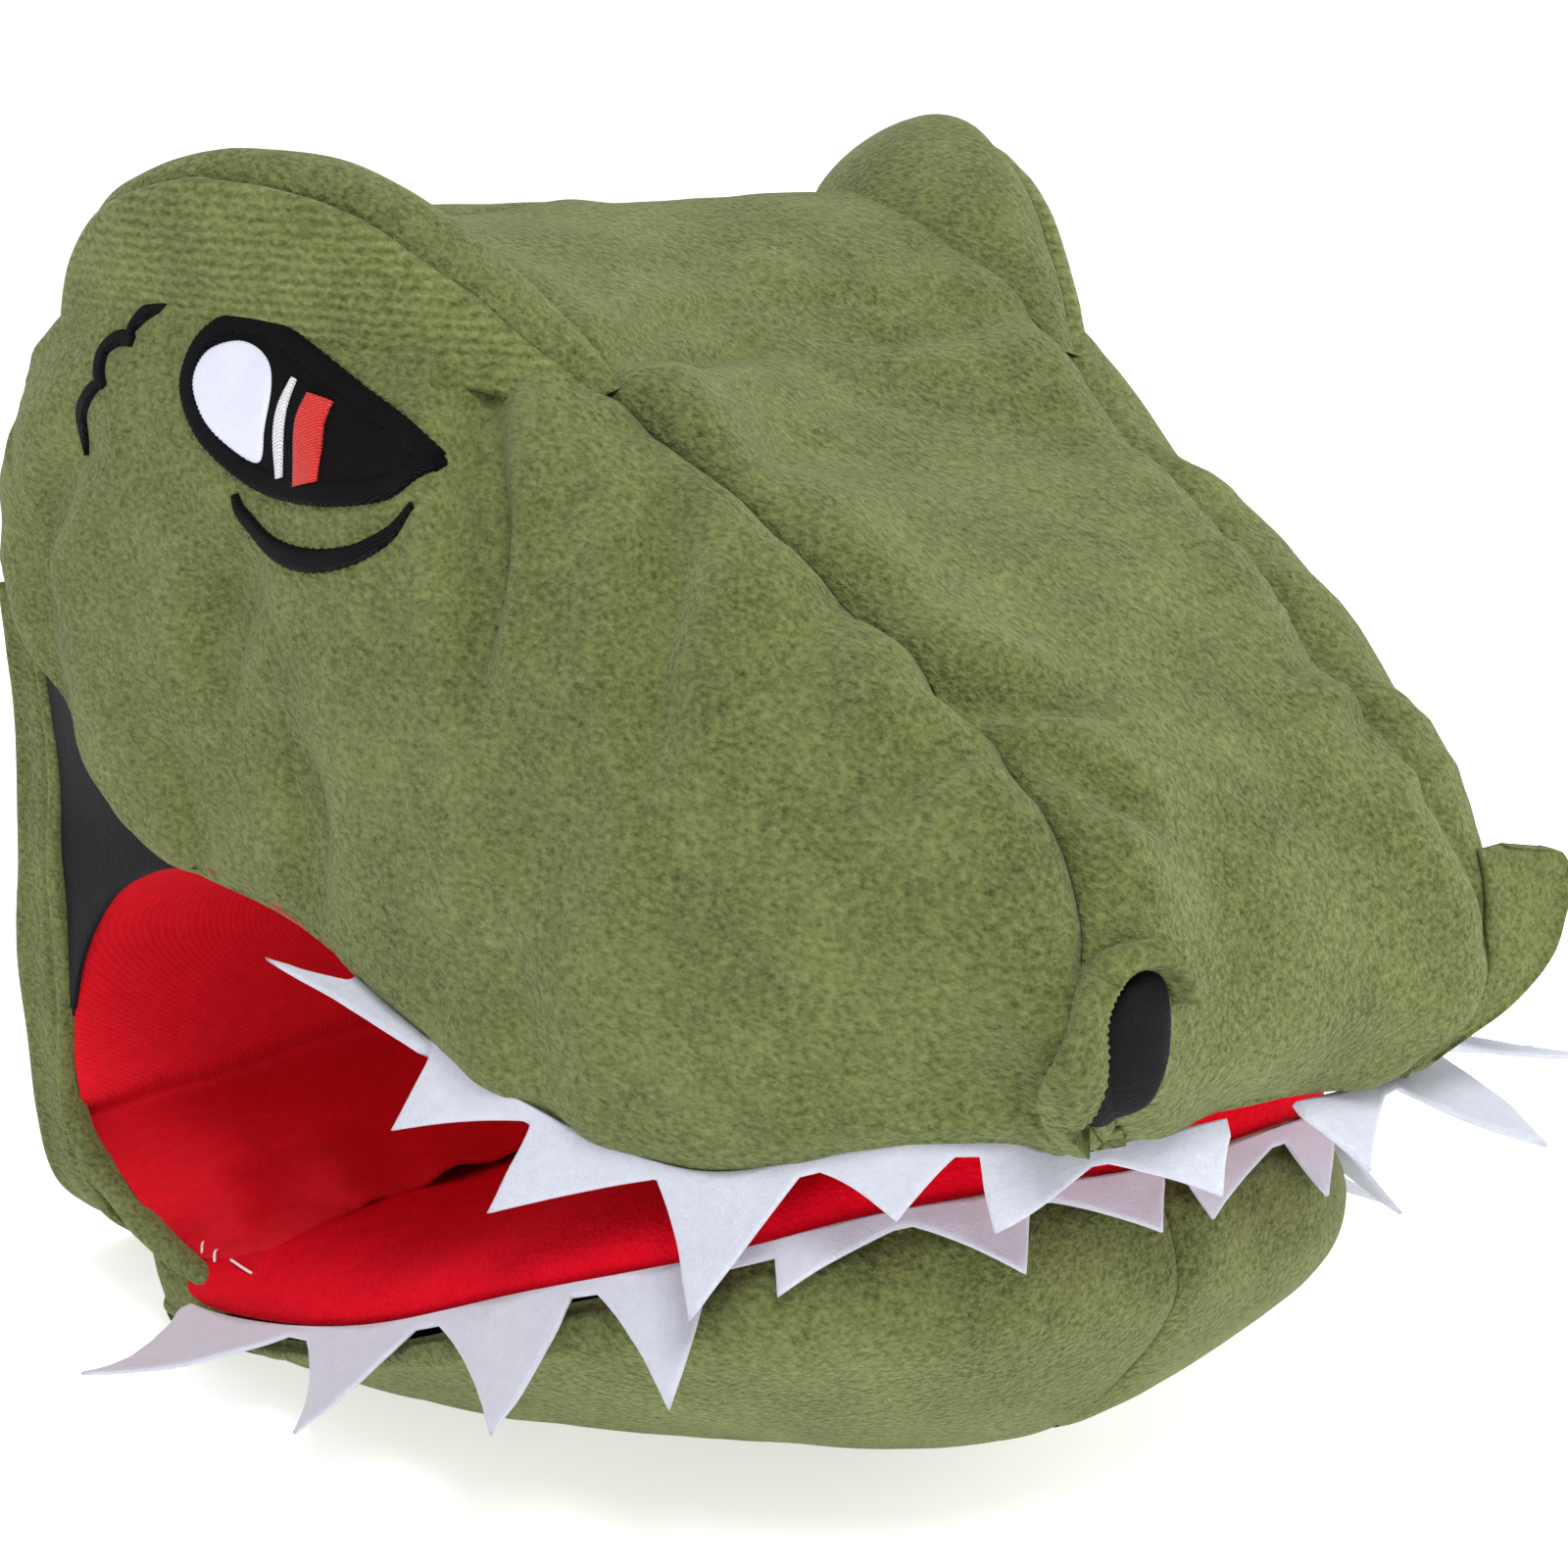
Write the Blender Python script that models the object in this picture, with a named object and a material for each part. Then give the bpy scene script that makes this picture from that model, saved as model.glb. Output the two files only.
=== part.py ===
"""Moving mouth puppet: a plush dinosaur head whose mouth opens on a fabric hinge.

Frame: metres, +Z up, +X to the puppet's left, the snout points along -Y.  The origin is under the
middle of the head, on the surface that the lower jaw rests on.  All sizes below are millimetres.
The lower jaw lies on the table and carries the gum, the lower teeth and half of the neck band.
The upper head turns about a sideways axis through the two corners of the neck band.
"""
import math

import bmesh
import bpy
from mathutils import Vector

MM = 0.001

# Driving dimensions (mm)
CLOTH = 1.6            # thickness of the plush fabric with its pile
LINING = 0.9           # thickness of twill and fleece linings
FELT = 1.3             # thickness of the felt that the teeth are cut from
BOARD = 1.6            # thickness of the stiff mouth boards
GAP = 0.35             # clearance between pieces that touch
SLACK = 1.8            # room left between a panel and the loose wadding or lining inside it
WADDING = 0.16         # share of the distance to the middle of the head that the wadding fills
SEAM = 0.008           # half of a seam's width, as a share of one guide-to-guide step
HINGE = (0.0, 137.0, 58.0)   # a point on the mouth's hinge axis, which runs along X

# Half sections of the upper head, nose to neck.  Each station is a point (half width, y, z).
# Stations: nose base, nose tip, nose top, snout, snout root, forehead, crown, nape, neck edge.
CENTRE = ((0, -138, 91), (0, -147, 112), (0, -132, 142), (0, -86, 170), (0, -25, 194),
          (0, 35, 221), (0, 90, 222), (0, 132, 192), (0, 150, 150))
TOP_SEAM = ((30, -135, 91), (40, -144, 112), (42, -132, 139), (46, -93, 163), (50, -25, 198),
            (61, 35, 220), (74, 92, 215), (76, 130, 186), (75, 147, 150))
TEMPLE = ((32, -134, 90.5), (47, -137, 112), (56, -121, 127), (66, -86, 145), (76, -27, 168),
          (89, 35, 193), (98, 91, 201), (95, 125, 188), (86, 144, 154))
CHEEK = ((34, -133, 90), (49, -127, 103), (62, -110, 112), (76, -80, 116), (85, -28, 128),
         (92, 38, 147), (101, 92, 157), (99, 122, 162), (92, 140, 152))
LIP = ((35, -131, 89), (47, -123, 91), (60, -107, 88), (74, -76, 78), (86, -30, 84),
       (91, 30, 99), (95, 78, 104), (98, 108, 126), (91, 140, 149))
# Points inside the head that the wadding and the hand's lining shrink towards.
MIDDLE = ((0, -100, 108), (0, -96, 112), (0, -86, 116), (0, -62, 118), (0, -20, 122),
          (0, 40, 128), (0, 86, 132), (0, 122, 136), (0, 150, 136))

# Half sections of the lower jaw, chin to neck: rim, side, bottom edge and keel.
RIM = ((0, -112, 74), (32, -107, 74), (52, -95, 70), (67, -76, 61), (80, -40, 46.5),
       (88, 8, 26.5), (91, 55, 14), (89, 95, 8.5), (85, 126, 7.5))
JAW_SIDE = ((0, -117, 54), (35, -111, 53), (54, -97, 51), (69, -75, 45), (82, -37, 35.5),
            (89, 9, 22), (91, 55, 11.5), (89, 95, 7), (85, 126, 6.2))
JAW_EDGE = ((0, -100, 32), (24, -94, 31), (38, -81, 28), (49, -60, 23), (58, -28, 15),
            (64, 14, 7), (68, 58, 2.6), (68, 96, 2), (66, 126, 1.6))
KEEL = ((0, -85, 20), (0, -75, 15), (0, -62, 10), (0, -44, 6), (0, -14, 2),
        (0, 25, 0), (0, 62, 0), (0, 96, 0), (0, 126, 0))
SOLE = 1.4             # the jaw's underside is pressed flat up to this height

# The neck band, from its top corner down one side and under the jaw: (half width, front y, rear y, z)
BAND = ((90, 141, 153, 146), (89, 133, 153, 118), (90, 131, 153, 84), (90, 130, 153, 58),
        (88, 130, 153, 32), (82, 130, 153, 13), (62, 130, 153, 1), (34, 130, 153, 0), (0, 130, 153, 0))
BAND_SPLIT = (2.55, 3.3)   # where the band is parted at the hinge, counted in its own points

# Teeth: (start, end, tip, length) along the lip or the rim from the middle of the front (mm)
UPPER_TEETH = ((8, 30, 12, 9), (33, 52, 50, 12), (56, 80, 64, 10), (84, 113, 98, 22),
               (114, 142, 145, 16), (144, 170, 173, 14), (171, 197, 206, 9))
LOWER_TEETH = ((2, 24, 5, 8), (28, 47, 30, 11), (50, 70, 69, 7), (77, 103, 80, 24),
               (107, 143, 105, 29), (149, 185, 157, 26), (188, 228, 213, 31))
STRIP = 3.0            # width of the plain felt strip that the teeth grow from

GREEN, BLACK, WHITE, RED = "plush", "black_lining", "white_felt", "red"
COLOURS = {
    "plush": (0.115, 0.155, 0.045, 1.0),
    "black_lining": (0.012, 0.012, 0.013, 1.0),
    "white_felt": (0.82, 0.83, 0.88, 1.0),
    "red": (0.45, 0.006, 0.012, 1.0),
    "wadding": (0.80, 0.80, 0.77, 1.0),
    "board": (0.35, 0.27, 0.18, 1.0),
}
ROUGHNESS = {"board": 0.7, "wadding": 1.0}


# ---------------------------------------------------------------- curves and surfaces

def spline(points, place):
    """Catmull-Rom point at `place`, counted in points from the first one."""
    last = len(points) - 1
    place = min(max(place, 0.0), float(last))
    index = min(int(place), last - 1)
    f = place - index
    p1, p2 = Vector(points[index]), Vector(points[index + 1])
    p0 = Vector(points[index - 1]) if index > 0 else 2 * p1 - p2
    p3 = Vector(points[index + 2]) if index + 2 <= last else 2 * p2 - p1
    return 0.5 * (2 * p1 + (p2 - p0) * f + (2 * p0 - 5 * p1 + 4 * p2 - p3) * f * f
                  + (3 * p1 - p0 - 3 * p2 + p3) * f * f * f)


def mirrored(point, side):
    return Vector((point.x * side, point.y, point.z))


def head_point(t, v):
    """Outer surface of the upper head: t along the stations, v from the centre line (0) to the
    lip (4); a negative v is the puppet's right side."""
    side = 1 if v >= 0 else -1
    row = [spline(guide, t) for guide in (CENTRE, TOP_SEAM, TEMPLE, CHEEK, LIP)]
    row.insert(0, Vector((-row[1].x, row[1].y, row[1].z)))
    return mirrored(spline(row, 1 + abs(v)), side)


def jaw_point(t, v):
    """Outer surface of the lower jaw: v from the rim (0) to the keel (3)."""
    side = 1 if v >= 0 else -1
    row = [spline(guide, t) for guide in (RIM, JAW_SIDE, JAW_EDGE, KEEL)]
    row.append(Vector((-row[2].x, row[2].y, row[2].z)))
    point = mirrored(spline(row, abs(v)), side)
    point.z = max(point.z - SOLE, 0.0)
    return point


def normal(surface, t, v, inside, step=0.02):
    """Unit normal of a surface that points away from `inside`."""
    along = surface(t + step, v) - surface(t - step, v)
    across = surface(t, v + step) - surface(t, v - step)
    result = along.cross(across).normalized()
    if result.dot(surface(t, v) - inside) < 0:
        result.negate()
    return result


def head_skin(t, v, depth):
    """Point of the head's surface moved inwards by `depth` (outwards if negative)."""
    t_in = min(max(t, 0.03), 7.97)
    v_in = math.copysign(min(abs(v), 3.96), v)
    return head_point(t, v) - normal(head_point, t_in, v_in, spline(MIDDLE, t_in)) * depth


def jaw_skin(t, v, depth):
    v_in = math.copysign(min(max(abs(v), 0.04), 2.9), v)
    t_in = min(max(t, 0.06), 7.94)
    inside = Vector((0, spline(KEEL, t_in).y + 20, spline(RIM, t_in).z * 0.7 + 6))
    return jaw_point(t, v) - normal(jaw_point, t_in, v_in, inside) * depth


def head_core(t, v, share, depth=0.0):
    """Point between the head's surface and its middle, `share` of the way in."""
    return head_skin(t, v, depth).lerp(spline(MIDDLE, t), share)


# ---------------------------------------------------------------- meshes

def material(name):
    found = bpy.data.materials.get(name)
    if found:
        return found
    made = bpy.data.materials.new(name)
    made.use_nodes = True
    shader = made.node_tree.nodes["Principled BSDF"]
    shader.inputs["Base Color"].default_value = COLOURS[name]
    shader.inputs["Roughness"].default_value = ROUGHNESS.get(name, 0.95)
    shader.inputs["Metallic"].default_value = 0.0
    made.diffuse_color = COLOURS[name]
    return made


def add_object(name, bm, colour, smooth=True):
    if bm.calc_volume(signed=True) < 0:
        bmesh.ops.reverse_faces(bm, faces=bm.faces)
    mesh = bpy.data.meshes.new(name)
    bm.to_mesh(mesh)
    bm.free()
    if smooth:
        mesh.shade_smooth()
        mesh.set_sharp_from_angle(angle=math.radians(50))
    mesh.materials.append(material(colour))
    thing = bpy.data.objects.new(name, mesh)
    bpy.context.scene.collection.objects.link(thing)
    return thing


def steps(first, last, count):
    return [first + (last - first) * i / (count - 1) for i in range(count)]


def slab(name, us, vs, outer, inner, colour, smooth=True):
    """Closed sheet between two surfaces, each a function of (u, v), on the grid us by vs."""
    bm = bmesh.new()
    skins = []
    for surface in (outer, inner):
        skins.append([[bm.verts.new(surface(u, v) * MM) for v in vs] for u in us])
    rows, columns = len(us), len(vs)
    top, bottom = skins
    for i in range(rows - 1):
        for j in range(columns - 1):
            bm.faces.new((top[i][j], top[i + 1][j], top[i + 1][j + 1], top[i][j + 1]))
            bm.faces.new((bottom[i][j + 1], bottom[i + 1][j + 1], bottom[i + 1][j], bottom[i][j]))
    border = [(i, 0) for i in range(rows)] + [(rows - 1, j) for j in range(1, columns)]
    border += [(i, columns - 1) for i in range(rows - 2, -1, -1)] + [(0, j) for j in range(columns - 2, 0, -1)]
    for (i, j), (k, m) in zip(border, border[1:] + border[:1]):
        bm.faces.new((top[k][m], top[i][j], bottom[i][j], bottom[k][m]))
    return add_object(name, bm, colour, smooth)


SIDES = (("left", 1), ("right", -1))


# ---------------------------------------------------------------- upper head

def head_panels():
    """Plush panels of the upper head, with a seam's width between them."""
    edge = 1 - SEAM
    slab("snout_top_panel", steps(0.0, 5.6, 17), steps(-edge, edge, 9),
         lambda t, v: head_skin(t, v, 0), lambda t, v: head_skin(t, v, CLOTH), GREEN)
    slab("back_panel", steps(5.6 + SEAM, 8.0, 8), steps(-edge, edge, 9),
         lambda t, v: head_skin(t, v, 0), lambda t, v: head_skin(t, v, CLOTH), GREEN)
    for word, side in SIDES:
        slab("side_panel_" + word, steps(0.0, 8.0, 25), steps((1 + SEAM) * side, 4 * side, 10),
             lambda t, v: head_skin(t, v, 0), lambda t, v: head_skin(t, v, CLOTH), GREEN)


def head_filling():
    """Wadding under the panels, and the black lining that the hand wears inside it."""
    under = CLOTH + SLACK
    slab("head_wadding", steps(0.5, 7.5, 16), steps(-2.7, 2.7, 13),
         lambda t, v: head_core(t, v, 0.0, under), lambda t, v: head_core(t, v, WADDING, under), "wadding")
    behind = under + SLACK
    slab("hand_lining", steps(1.6, 7.4, 13), steps(-2.7, 2.7, 13),
         lambda t, v: head_core(t, v, WADDING, behind),
         lambda t, v: head_core(t, v, WADDING, behind + LINING), BLACK)


BROW_FRONT, BROW_BACK = 4.05, 6.6     # stations of the ridge's two ends
BROW_RISE = 20.0


def brow_ridges():
    """Two stuffed ridges over the eyes, each of a front panel, a back panel and wadding."""
    def place(s, r):
        """Foot of the ridge on the head: s from its front end to its back end, r from the foot
        over the eye to the foot on the crown."""
        arch = math.sin(math.pi * s)
        outer = 1.02 + 0.60 * arch ** 0.5 + 0.42 * s * s
        inner = 0.96 - 0.20 * arch + 0.36 * s * s
        return BROW_FRONT + (BROW_BACK - BROW_FRONT) * s, outer + (inner - outer) * r

    def height(s, r):
        return BROW_RISE * math.sin(math.pi * s ** 1.2) ** 0.65 * math.sin(math.pi * r) ** 0.6 + 1.0

    def ridge_point(s, r, side, lower):
        t, v = place(s, r)
        up = Vector((0.16, -0.08, 0.98)).normalized()
        point = head_skin(t, v, -GAP) + up * max(height(s, r) - lower, 0.15)
        return mirrored(point, side)

    def ridge_floor(s, r, side):
        t, v = place(s, r)
        return mirrored(head_skin(t, v, -GAP), side)

    for word, side in SIDES:
        for panel, first, last in (("front", 0.03, 0.49), ("back", 0.51, 0.97)):
            slab(f"brow_{panel}_{word}", steps(0.03, 0.97, 13), steps(first, last, 5),
                 lambda s, r: ridge_point(s, r, side, 0), lambda s, r: ridge_point(s, r, side, CLOTH), GREEN)
        slab("brow_wadding_" + word, steps(0.12, 0.88, 9), steps(0.12, 0.88, 7),
             lambda s, r: ridge_point(s, r, side, CLOTH + 1.2),
             lambda s, r: ridge_floor(s, r, side) + Vector((0, 0, 0.2)), "wadding")


NOSTRIL_RISE = 10.5


def nostrils():
    """A raised plush flap beside each nostril, with its black lining on the inner face."""
    def flap(s, r, side, lower):
        """s from the lip up to the top of the nostril, r from the sewn foot to the free rim."""
        t = 0.15 + 1.5 * s
        foot = head_skin(t, 1.12, -GAP)
        rise = NOSTRIL_RISE * math.sin(math.pi * (0.06 + 0.84 * s ** 1.3)) ** 0.7
        out = Vector((0.80, -0.60, 0.05)).normalized()
        point = foot + out * (rise * math.sin(0.5 * math.pi * r) + 0.3) + Vector((2.5, 0.5, 0)) * r * r
        return mirrored(point + Vector((-0.5, -0.85, 0)).normalized() * lower, side)

    for word, side in SIDES:
        slab("nostril_flap_" + word, steps(0.0, 1.0, 11), steps(0.0, 1.0, 6),
             lambda s, r: flap(s, r, side, 0), lambda s, r: flap(s, r, side, CLOTH), GREEN)
        slab("nostril_lining_" + word, steps(0.06, 0.94, 11), steps(0.08, 0.97, 5),
             lambda s, r: flap(s, r, side, CLOTH + GAP), lambda s, r: flap(s, r, side, CLOTH + GAP + LINING),
             BLACK)


EYE_FRONT, EYE_BACK = 4.33, 5.48      # stations of the eye's front tip and back end


def eyes():
    """Sewn eye patches: a black leaf shape, and a white and a red shape on top of it."""
    def leaf(u, shrink):
        """Upper and lower edge at u, from the front tip (0) to the back end (1)."""
        top = 1.74 - 0.08 * u
        drop = 0.64 * math.sin(math.pi * (0.02 + 0.80 * u)) ** 0.85
        return top + drop * shrink, top + drop * (1 - shrink)

    for word, side in SIDES:
        for piece, first, last, shrink, lift, colour in (
                ("eye_outline", 0.02, 1.0, 0.0, 0.0, BLACK),
                ("eye_white", 0.62, 0.92, 0.12, 1.0, WHITE),
                ("eye_iris", 0.36, 0.56, 0.12, 1.0, RED)):
            def surface(u, r, up, shrink=shrink, side=side):
                upper, lower = leaf(u, shrink)
                point = head_skin(EYE_FRONT + (EYE_BACK - EYE_FRONT) * u, upper + (lower - upper) * r, -up)
                return mirrored(point, side)
            slab(f"{piece}_{word}", steps(first, last, 9), steps(0.0, 1.0, 6),
                 lambda u, r: surface(u, r, GAP + 0.6 + lift),
                 lambda u, r: surface(u, r, GAP + lift), colour)


# ---------------------------------------------------------------- teeth, linings and boards

def measured(points, step=0.05):
    """Lengths along a spline, as (length, place) pairs."""
    pairs, length, place = [(0.0, 0.0)], 0.0, 0.0
    last = spline(points, 0)
    while place < len(points) - 1:
        place = min(place + step, len(points) - 1)
        here = spline(points, place)
        length += (here - last).length
        pairs.append((length, place))
        last = here
    return pairs


def place_at(pairs, length):
    for (a, p), (b, q) in zip(pairs, pairs[1:]):
        if length <= b:
            return p + (q - p) * (length - a) / (b - a)
    return pairs[-1][1]


def teeth(name, path, spec, side, front_lean, rear_lean, tuck):
    """A felt strip with teeth along a path; a lean is the teeth's outward and downward share, at
    the front and at the rear, and `tuck` the step from the path to the strip's sewn edge."""
    pairs = measured(path)
    columns = []
    for start, end, tip, length in spec:
        width = end - start
        columns += [(start, 0.0, 0.0), (start + width * 0.25, (tip - start) / 2 - width * 0.25, 0.46 * length),
                    (start + width * 0.5, tip - start - width * 0.5, length),
                    (end - width * 0.25, (tip - end) / 2 + width * 0.25, 0.46 * length), (end, 0.0, 0.0)]

    def surface(column, r, depth):
        along, slant, length = columns[int(column)]
        place = place_at(pairs, along)
        point = spline(path, place)
        run = (spline(path, place + 0.05) - spline(path, place - 0.05)).normalized()
        out = Vector((run.y, -run.x, 0.0)).normalized()
        if out.dot(Vector((point.x, point.y + 40, 0))) < 0:
            out.negate()
        share = column / (len(columns) - 1)
        lean = [a + (b - a) * share for a, b in zip(front_lean, rear_lean)]
        fall = (out * lean[0] - Vector((0, 0, 1)) * lean[1]).normalized()
        face = Vector((out.x * lean[1], out.y * lean[1], lean[0])).normalized()
        root = point + out * tuck[0] + Vector((0, 0, tuck[1]))
        return mirrored(root + (fall * (STRIP + length) + run * slant) * r - face * depth, side)

    slab(name, range(len(columns)), steps(0.0, 1.0, 4),
         lambda c, r: surface(c, r, 0), lambda c, r: surface(c, r, FELT), WHITE, smooth=False)


def upper_mouth():
    """Upper teeth, palate lining and the stiff board that the fingers press on."""
    lip = (CENTRE[0],) + LIP[:7]
    for word, side in SIDES:
        teeth("upper_teeth_" + word, lip, UPPER_TEETH, side, (0.45, 0.89), (0.28, 0.96), (-1.8, -0.8))

    def vault(t, r):
        """r from the right lip to the left one: a vault whose edges follow the lips."""
        point = spline(LIP, t)
        crown = 90.5 + 6.5 * (1 - r * r)
        return Vector((r * (point.x - 5.0), point.y + 2.0, crown + (point.z + 1.0 - crown) * abs(r) ** 3))

    def palate(t, r, depth):
        below = Vector((0, spline(LIP, t).y, 40.0))
        return vault(t, r) - normal(vault, t, r, below) * depth

    def board(t, r, lift):
        point = spline(LIP, t)
        return Vector((r * (point.x - 14.0), point.y + 2.0, 98.5 + lift))

    slab("palate_lining", steps(0.25, 6.6, 9), steps(-1.0, 1.0, 7),
         lambda t, r: palate(t, r, 0), lambda t, r: palate(t, r, LINING), RED)
    slab("upper_mouth_board", steps(0.6, 4.8, 10), steps(-1.0, 1.0, 5),
         lambda t, r: board(t, r, 0), lambda t, r: board(t, r, BOARD), "board", smooth=False)


def jaw_panels():
    """The jaw's left and right plush panels, which meet in a seam down the chin and the keel."""
    for word, side in SIDES:
        def surface(t, v, depth, side=side):
            point = jaw_skin(t, v, depth)
            point.x = max(point.x, GAP)
            return mirrored(point, side)
        slab("jaw_panel_" + word, steps(0.0, 8.0, 19), steps(0.0, 3.0, 9),
             lambda t, v: surface(t, v, 0), lambda t, v: surface(t, v, CLOTH), GREEN)


def gum_and_boards():
    """Red gum pad on the jaw, the stiff board under it, the wadding and the thumb's pocket."""
    def across(t, r, inset, lift):
        point = spline(RIM, t)
        crown = 9.0 * (1 - r * r) * min(t / 4, 1.0)
        return Vector((r * max(point.x - inset, 1.0), point.y + inset * 0.6, point.z + crown + lift))

    def gum_top(t, r):
        edge = min(t - 0.1, 7.3 - t, 1.0)
        return across(t, r, 0.5, 3.5 + 8.0 * (1 - abs(r) ** 5) * max(edge, 0.0) ** 0.5)

    slab("gum_pad", steps(0.25, 7.2, 15), steps(-1.0, 1.0, 11),
         gum_top, lambda t, r: across(t, r, 1.5, 2.0), RED)
    slab("lower_mouth_board", steps(0.8, 6.6, 12), steps(-0.86, 0.86, 9),
         lambda t, r: across(t, r, 1.5, 1.0), lambda t, r: across(t, r, 1.5, 1.0 - BOARD),
         "board", smooth=False)
    for word, side in SIDES:
        teeth("lower_teeth_" + word, RIM, LOWER_TEETH, side, (0.50, 0.87), (0.97, 0.24), (1.3, 2.3))


def band_surface(place, q, side, depth):
    """Neck band: `place` counted along BAND, q from its front edge to its rear edge."""
    half, level = spline([(p[0], p[3], 0) for p in BAND], place).xy
    front, rear = spline([(p[1], p[2], 0) for p in BAND], place).xy
    ahead = spline([(p[0], 0, p[3]) for p in BAND], place + 0.05)
    run = ahead - spline([(p[0], 0, p[3]) for p in BAND], place - 0.05)
    out = Vector((-run.z, 0, run.x)).normalized()
    point = Vector((half, front + (rear - front) * q, level)) - out * depth
    point.z = max(point.z, depth)
    return mirrored(point, side)


def neck_band():
    """The plush band round the neck opening, parted at the hinge, and the black lining inside it."""
    top, bottom = BAND_SPLIT
    for word, side in SIDES:
        slab("neck_band_upper_" + word, steps(0.0, top, 9), steps(0.0, 1.0, 4),
             lambda p, q: band_surface(p, q, side, 0), lambda p, q: band_surface(p, q, side, CLOTH), GREEN)
        slab("neck_lining_upper_" + word, steps(0.0, top, 9), steps(0.0, 1.0, 4),
             lambda p, q: band_surface(p, q, side, CLOTH + GAP),
             lambda p, q: band_surface(p, q, side, CLOTH + GAP + LINING), BLACK)

    def whole(p, q, depth):
        """p runs from the left side (negative) under the jaw to the right side."""
        end = len(BAND) - 1
        return band_surface(end - abs(p), q, -1 if p > 0 else 1, depth)
    reach = len(BAND) - 1 - bottom
    slab("neck_band_lower", steps(-reach, reach, 25), steps(0.0, 1.0, 4),
         lambda p, q: whole(p, q, 0), lambda p, q: whole(p, q, CLOTH), GREEN)
    slab("neck_lining_lower", steps(-reach, reach, 25), steps(0.0, 1.0, 4),
         lambda p, q: whole(p, q, CLOTH + GAP), lambda p, q: whole(p, q, CLOTH + GAP + LINING), BLACK)


THROAT_DEPTH = 126.0   # how far back the throat lining reaches at the hinge
THROAT_PARTS = (("upper", 61.0, 92.0), ("lower", 26.0, 55.0))


def throat():
    """Twill at the back of the mouth, parted at the hinge, black sides and the hinge tape."""
    def twill(level, r, depth):
        bend = (level - HINGE[2]) / 34.0
        back = THROAT_DEPTH - 16.0 * bend * bend - 10.0 * r * r
        return Vector((r * 80.0, back + depth, level))

    for word, low, high in THROAT_PARTS:
        slab("throat_lining_" + word, steps(low, high, 7), steps(-1.0, 1.0, 11),
             lambda z, r: twill(z, r, 0), lambda z, r: twill(z, r, LINING), RED)
    slab("hinge_tape", steps(44.0, 56.0, 3), steps(-0.8, 0.8, 9),
         lambda z, r: twill(z, r, LINING + GAP), lambda z, r: twill(z, r, 2 * LINING + GAP), BLACK)
    for word, side in SIDES:
        slab("corner_lining_" + word, steps(66.0, 116.0, 6), steps(0.0, 1.0, 4),
             lambda z, q: Vector(((87.0 + 0.06 * (z - 66)) * side, 100.0 + (z - 66) * 0.2 + 18 * q, z)),
             lambda z, q: Vector(((86.0 + 0.06 * (z - 66)) * side, 100.0 + (z - 66) * 0.2 + 18 * q, z)), BLACK)


def jaw_filling():
    """Wadding in the jaw, round the pocket that the thumb wears."""
    def core(t, v, share):
        middle = Vector((0, spline(KEEL, t).y + 12, max(spline(RIM, t).z * 0.45, 8.0)))
        return jaw_skin(t, v, CLOTH + GAP).lerp(middle, share)
    slab("jaw_wadding", steps(0.4, 6.2, 12), steps(0.35, 2.7, 7),
         lambda t, v: core(t, v, 0.0), lambda t, v: core(t, v, 0.3), "wadding")


def build():
    for thing in list(bpy.data.objects):
        bpy.data.objects.remove(thing)
    head_panels()
    head_filling()
    brow_ridges()
    nostrils()
    eyes()
    upper_mouth()
    throat()
    jaw_panels()
    jaw_filling()
    gum_and_boards()
    neck_band()


build()
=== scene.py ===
"""Looks of the moving mouth puppet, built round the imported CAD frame.

The guide curves of part.py are repeated here in millimetres, so that every fine piece lies on the
CAD solid it stands for.  Lengths are in mm until a mesh is made; the scene itself is in metres.
"""
import itertools
import math

import bpy
import numpy as np
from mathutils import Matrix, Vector


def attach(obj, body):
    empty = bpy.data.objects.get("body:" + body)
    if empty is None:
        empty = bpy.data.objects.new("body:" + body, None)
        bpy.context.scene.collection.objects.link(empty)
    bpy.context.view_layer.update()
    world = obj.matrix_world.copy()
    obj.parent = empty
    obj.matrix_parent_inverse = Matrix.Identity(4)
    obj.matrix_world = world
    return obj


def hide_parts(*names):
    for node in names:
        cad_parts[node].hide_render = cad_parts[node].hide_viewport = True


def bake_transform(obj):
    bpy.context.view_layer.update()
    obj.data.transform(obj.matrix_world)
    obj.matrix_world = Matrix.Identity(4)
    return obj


MM = 0.001
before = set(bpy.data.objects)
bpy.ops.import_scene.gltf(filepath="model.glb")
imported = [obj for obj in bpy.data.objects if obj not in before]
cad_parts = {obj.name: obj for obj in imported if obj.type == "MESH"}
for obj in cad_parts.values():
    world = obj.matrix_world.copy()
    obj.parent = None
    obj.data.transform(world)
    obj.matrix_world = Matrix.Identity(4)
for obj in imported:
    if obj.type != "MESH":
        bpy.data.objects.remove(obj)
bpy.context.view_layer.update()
JAW, HEAD = "lower_jaw", "upper_head"
SIDES = (("left", 1), ("right", -1))

# ---------------------------------------------------------------- guide curves (mm), as in part.py

CENTRE = ((0, -138, 91), (0, -147, 112), (0, -132, 142), (0, -86, 170), (0, -25, 194),
          (0, 35, 221), (0, 90, 222), (0, 132, 192), (0, 150, 150))
TOP_SEAM = ((30, -135, 91), (40, -144, 112), (42, -132, 139), (46, -93, 163), (50, -25, 198),
            (61, 35, 220), (74, 92, 215), (76, 130, 186), (75, 147, 150))
TEMPLE = ((32, -134, 90.5), (47, -137, 112), (56, -121, 127), (66, -86, 145), (76, -27, 168),
          (89, 35, 193), (98, 91, 201), (95, 125, 188), (86, 144, 154))
CHEEK = ((34, -133, 90), (49, -127, 103), (62, -110, 112), (76, -80, 116), (85, -28, 128),
         (92, 38, 147), (101, 92, 157), (99, 122, 162), (92, 140, 152))
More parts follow.
